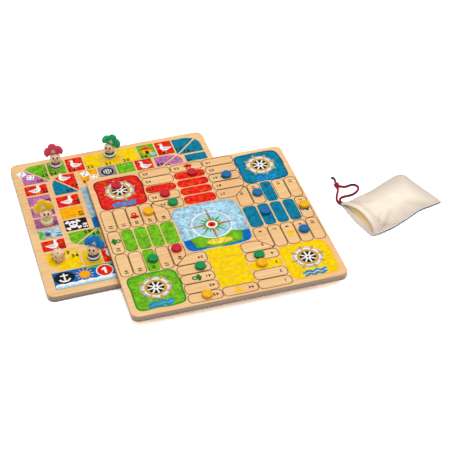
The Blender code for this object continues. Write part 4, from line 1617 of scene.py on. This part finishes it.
cotton = cotton_finish("unbleached_cotton")
inner_cotton = cotton_finish("inner_cotton", inner=True, foot=True)
length_share, side_share, _, _ = bag_plan()
plan_x, plan_y = length_share * BAG_LENGTH, side_share * BAG_WIDTH / 2
folds = fold_depth(plan_x, plan_y)
upper, lower = upper_panel(), lower_panel()
upper = settled(upper)
floor_level = np.minimum(upper[..., 2], lower[..., 2] + 3 * CLOTH)
upper[..., 2] = np.maximum(upper[..., 2] - folds, floor_level)
for row in UPPER_STITCHES:
    groove = bell(plan_x, row * HEM_STEP, GROOVE_WIDTH) * (1 - side_share**6)
    upper[..., 2] -= STITCH_GROOVE * groove
swelling = 2 + 2 * TUNNEL_END * bell(side_share, 1, 0.12)
lower_swelling = 1.4 * hem_puff(length_share, side_share, LOWER_HEM)
panels = {
    "upper": (upper, CLOTH + swelling * hem_puff(length_share, side_share, HEM), cotton),
    "lower": (lower, CLOTH + lower_swelling, inner_cotton),
}
flat_plan = np.tile(np.column_stack((plan_x.ravel(), plan_y.ravel())), (2, 1))
for panel_name, (middle, thickness, finish) in panels.items():
    points, faces = shell(middle, thickness)
    solid, node = (bag_place(points), faces), f"bag_{panel_name}_panel"
    piece = make_piece(f"bag_{panel_name}_cloth", solid, finish, "pouch", node, SOFT_EDGES)
    add_map(piece, "weave", flat_plan)
    if panel_name == "upper":
        # Painted shade for the folds, stronger where they press deeper
        tone = CREASE_SHADE_SHARE * np.clip(folds / FOLDS[0][2], 0, 1) ** 1.2
        add_attribute(piece, "crease", np.tile(tone.ravel(), 2))

# Seam: the turned edges make a soft ridge along both sides and the far end
edge_line = np.concatenate((upper[:, 0], upper[-1, 1:-1], upper[SEAM_END:, -1][::-1]))
seam_radii = SEAM_RADIUS * np.clip(SEAM_TIP + np.arange(len(edge_line)) / SEAM_TAPER, 0, 1)
solid = lofted(tube(bag_place(edge_line - (0, 0, CLOTH / 2)), seam_radii))
seam_cotton = cotton_finish("seam_cotton", foot=True)
make_piece("bag_turned_seam", solid, seam_cotton, "pouch", sharp=SOFT_EDGES)


def travelled(line):
    """How far along a line each of its points lies: the sum of the steps up to it."""
    return np.concatenate(((0,), np.cumsum(np.linalg.norm(np.diff(line, axis=0), axis=1))))


def read_line(line, spots):
    """Points at given lengths along a line."""
    return np.column_stack([np.interp(spots, travelled(line), part) for part in line.T])


def stitch_row(line, lift):
    """Threads along one row of the cloth: each is a short tube between two points a stitch
    apart, lifted to the cloth's outer face."""
    line = line + np.outer(lift + STITCH_LIFT, (0, 0, 1))
    solids = []
    for i in range(1, int(travelled(line)[-1] / STITCH) - 1):
        path = read_line(line, (i + np.array(STITCH_SPOTS)) * STITCH)
        path[1, 2] += STITCH_RADIUS
        solids.append(lofted(tube(bag_place(path), STITCH_RADIUS, 6)))
    return solids


# Stitches: short threads along the rows behind the hems
stitches = []
for panel_name, stitched_rows in (("upper", UPPER_STITCHES), ("lower", LOWER_STITCHES)):
    middle, thickness, _ = panels[panel_name]
    for row in stitched_rows:
        stitches += stitch_row(middle[row], thickness[row] / 2)
thread = dab_finish("cotton_thread", THREAD, 0.8)
make_piece("bag_hem_stitches", joined(stitches), thread, "pouch")

# Drawstring
# One braided red cord runs in the hem. It leaves the tunnel at the mouth's left end as
# two strands, a short run and a loop, which meet in an overhand knot with a short tail.

CORD_RADIUS = 0.0021
CORD_HEIGHT = 0.0023
CORD_EXIT_HEIGHT = 0.0046
BRAID_TURN = 4 * CORD_RADIUS  # length of one turn of the braid
CORD_RED = srgb(192, 22, 48)
CORD_DARK_AND_SHADE = srgb(84, 10, 26)
CORD_END_DARK = srgb(58, 18, 20)
SHORT_RUN_ROUTE = (
    (0.3472, -0.0896), (0.3444, -0.0840), (0.3430, -0.0770), (0.3442, -0.0695), (0.3478, -0.0619),
    (0.3521, -0.0539), (0.3550, -0.0478), (0.3561, -0.0438), (0.3568, -0.0392),
)
LOOP_ROUTE = (
    (0.3517, -0.0878), (0.3487, -0.0823), (0.3479, -0.0766), (0.3506, -0.0712), (0.3561, -0.0684),
    (0.3637, -0.0682), (0.3716, -0.0678), (0.3800, -0.0646), (0.3873, -0.0591), (0.3909, -0.0522),
    (0.3893, -0.0455), (0.3837, -0.0421), (0.3771, -0.0427), (0.3707, -0.0437), (0.3655, -0.0420),
    (0.3624, -0.0402), (0.3582, -0.0384),
)
TAIL_ROUTE = (
    (0.3572, -0.0358), (0.3577, -0.0317), (0.3587, -0.0262), (0.3602, -0.0197), (0.3591, -0.0151),
    (0.3556, -0.0131),
)


def smooth_path(route, start_height, step=0.0008):
    """Open Catmull-Rom curve through the route on the ground, read at even steps, and its length."""
    heights = np.full(len(route), CORD_HEIGHT)
    heights[0] = start_height
    ring = np.column_stack((np.array(route), heights))
    ring = np.concatenate((2 * ring[:1] - ring[1:2], ring, 2 * ring[-1:] - ring[-2:-1]))
    spans = (ring[k : len(ring) - 3 + k, None] for k in range(4))
    curve = np.concatenate((spline(*spans, 24), ring[-2:-1]))
    length = travelled(curve)[-1]
    return read_line(curve, np.linspace(0, length, max(8, round(length / step)))), length


def braid_finish(name, end=None):
    """Braided cotton cord: strands crossing both ways round it, with painted shade between them,
    and darker towards one end."""
    finish = Finish(name, {"Roughness": 0.85, "Sheen Weight": 0.2, "Specular IOR Level": 0.2})
    braid_uv = finish.node("ShaderNodeUVMap", {"uv_map": "braid"})
    along, around = (finish.axis(braid_uv, axis) for axis in "XY")
    one = abs(((along + around * 0.5) * (4 * math.pi)).sine())
    other = abs(((along - around * 0.5) * (4 * math.pi)).sine())
    strands = one.most(other)
    fuzz = finish.noise(finish.place(), 2500.0, 2.0)
    drift = finish.noise(finish.place(), 55.0, 1.0)
    # Painted shade darkens the gaps between the strands; the drift darkens stretches at random
    tone = finish.span(strands * 0.8 + fuzz * 0.3, 0.45, 1.05) * finish.span(drift, 0.38, 0.60, 0.35, 1.0)
    colour = finish.mix(tone, CORD_DARK_AND_SHADE, CORD_RED)
    # Darker towards the tail's end
    if end:
        colour = finish.mix(finish.span(along, end * 0.4, end * 0.8), colour, CORD_END_DARK)
    finish.set({"Base Color": colour})
    finish.bump(strands + fuzz * 0.4, 0.0002, 0.6)
    return finish


def make_cord(name, path, finish, node, sides=12):
    """A cord piece along a path, with a map of turns along and round it for its braid."""
    solid = lofted(tube(path, CORD_RADIUS, sides))
    piece = make_piece(name, solid, finish, "pouch", node, SOFT_EDGES)
    reach = np.linspace(0, travelled(path)[-1], len(path))
    along = np.repeat(reach / BRAID_TURN, sides)
    around = np.tile(np.arange(sides) * 8 / sides, len(path))
    add_map(piece, "braid", np.column_stack((along, around)))
    return piece


braid = braid_finish("red_braid")
short_path, short_length = smooth_path(SHORT_RUN_ROUTE, CORD_EXIT_HEIGHT)
loop_path, loop_length = smooth_path(LOOP_ROUTE, CORD_EXIT_HEIGHT)
tail_path, tail_length = smooth_path(TAIL_ROUTE, CORD_HEIGHT)
short_run = make_cord("drawstring_short_strand", short_path, braid, "drawstring_short_run")
loop = make_cord("drawstring_loop_strand", loop_path, braid, "drawstring_loop")
dark_end_braid = braid_finish("dark_end_braid", tail_length / BRAID_TURN)
tail = make_cord("drawstring_tail_end", tail_path, dark_end_braid, "drawstring_tail")

# Knot: a trefoil of the cord pulled tight
knot_low, knot_high, _ = node_box("drawstring_knot")
knot_middle = (knot_low + knot_high) / 2
knot_half = (knot_high - knot_low) / 2 - np.array((0.5, 0.5, 1.0)) * CORD_RADIUS
turns = np.linspace(0, 2 * math.pi, 90)
trefoil = np.column_stack((
    (np.sin(turns) + 2 * np.sin(2 * turns)) / 3,
    (np.cos(turns) - 2 * np.cos(2 * turns)) / 3,
    -np.sin(3 * turns),
))
knot_path = knot_middle + trefoil * knot_half
knot = make_cord("drawstring_overhand_knot", knot_path, braid, "drawstring_knot")
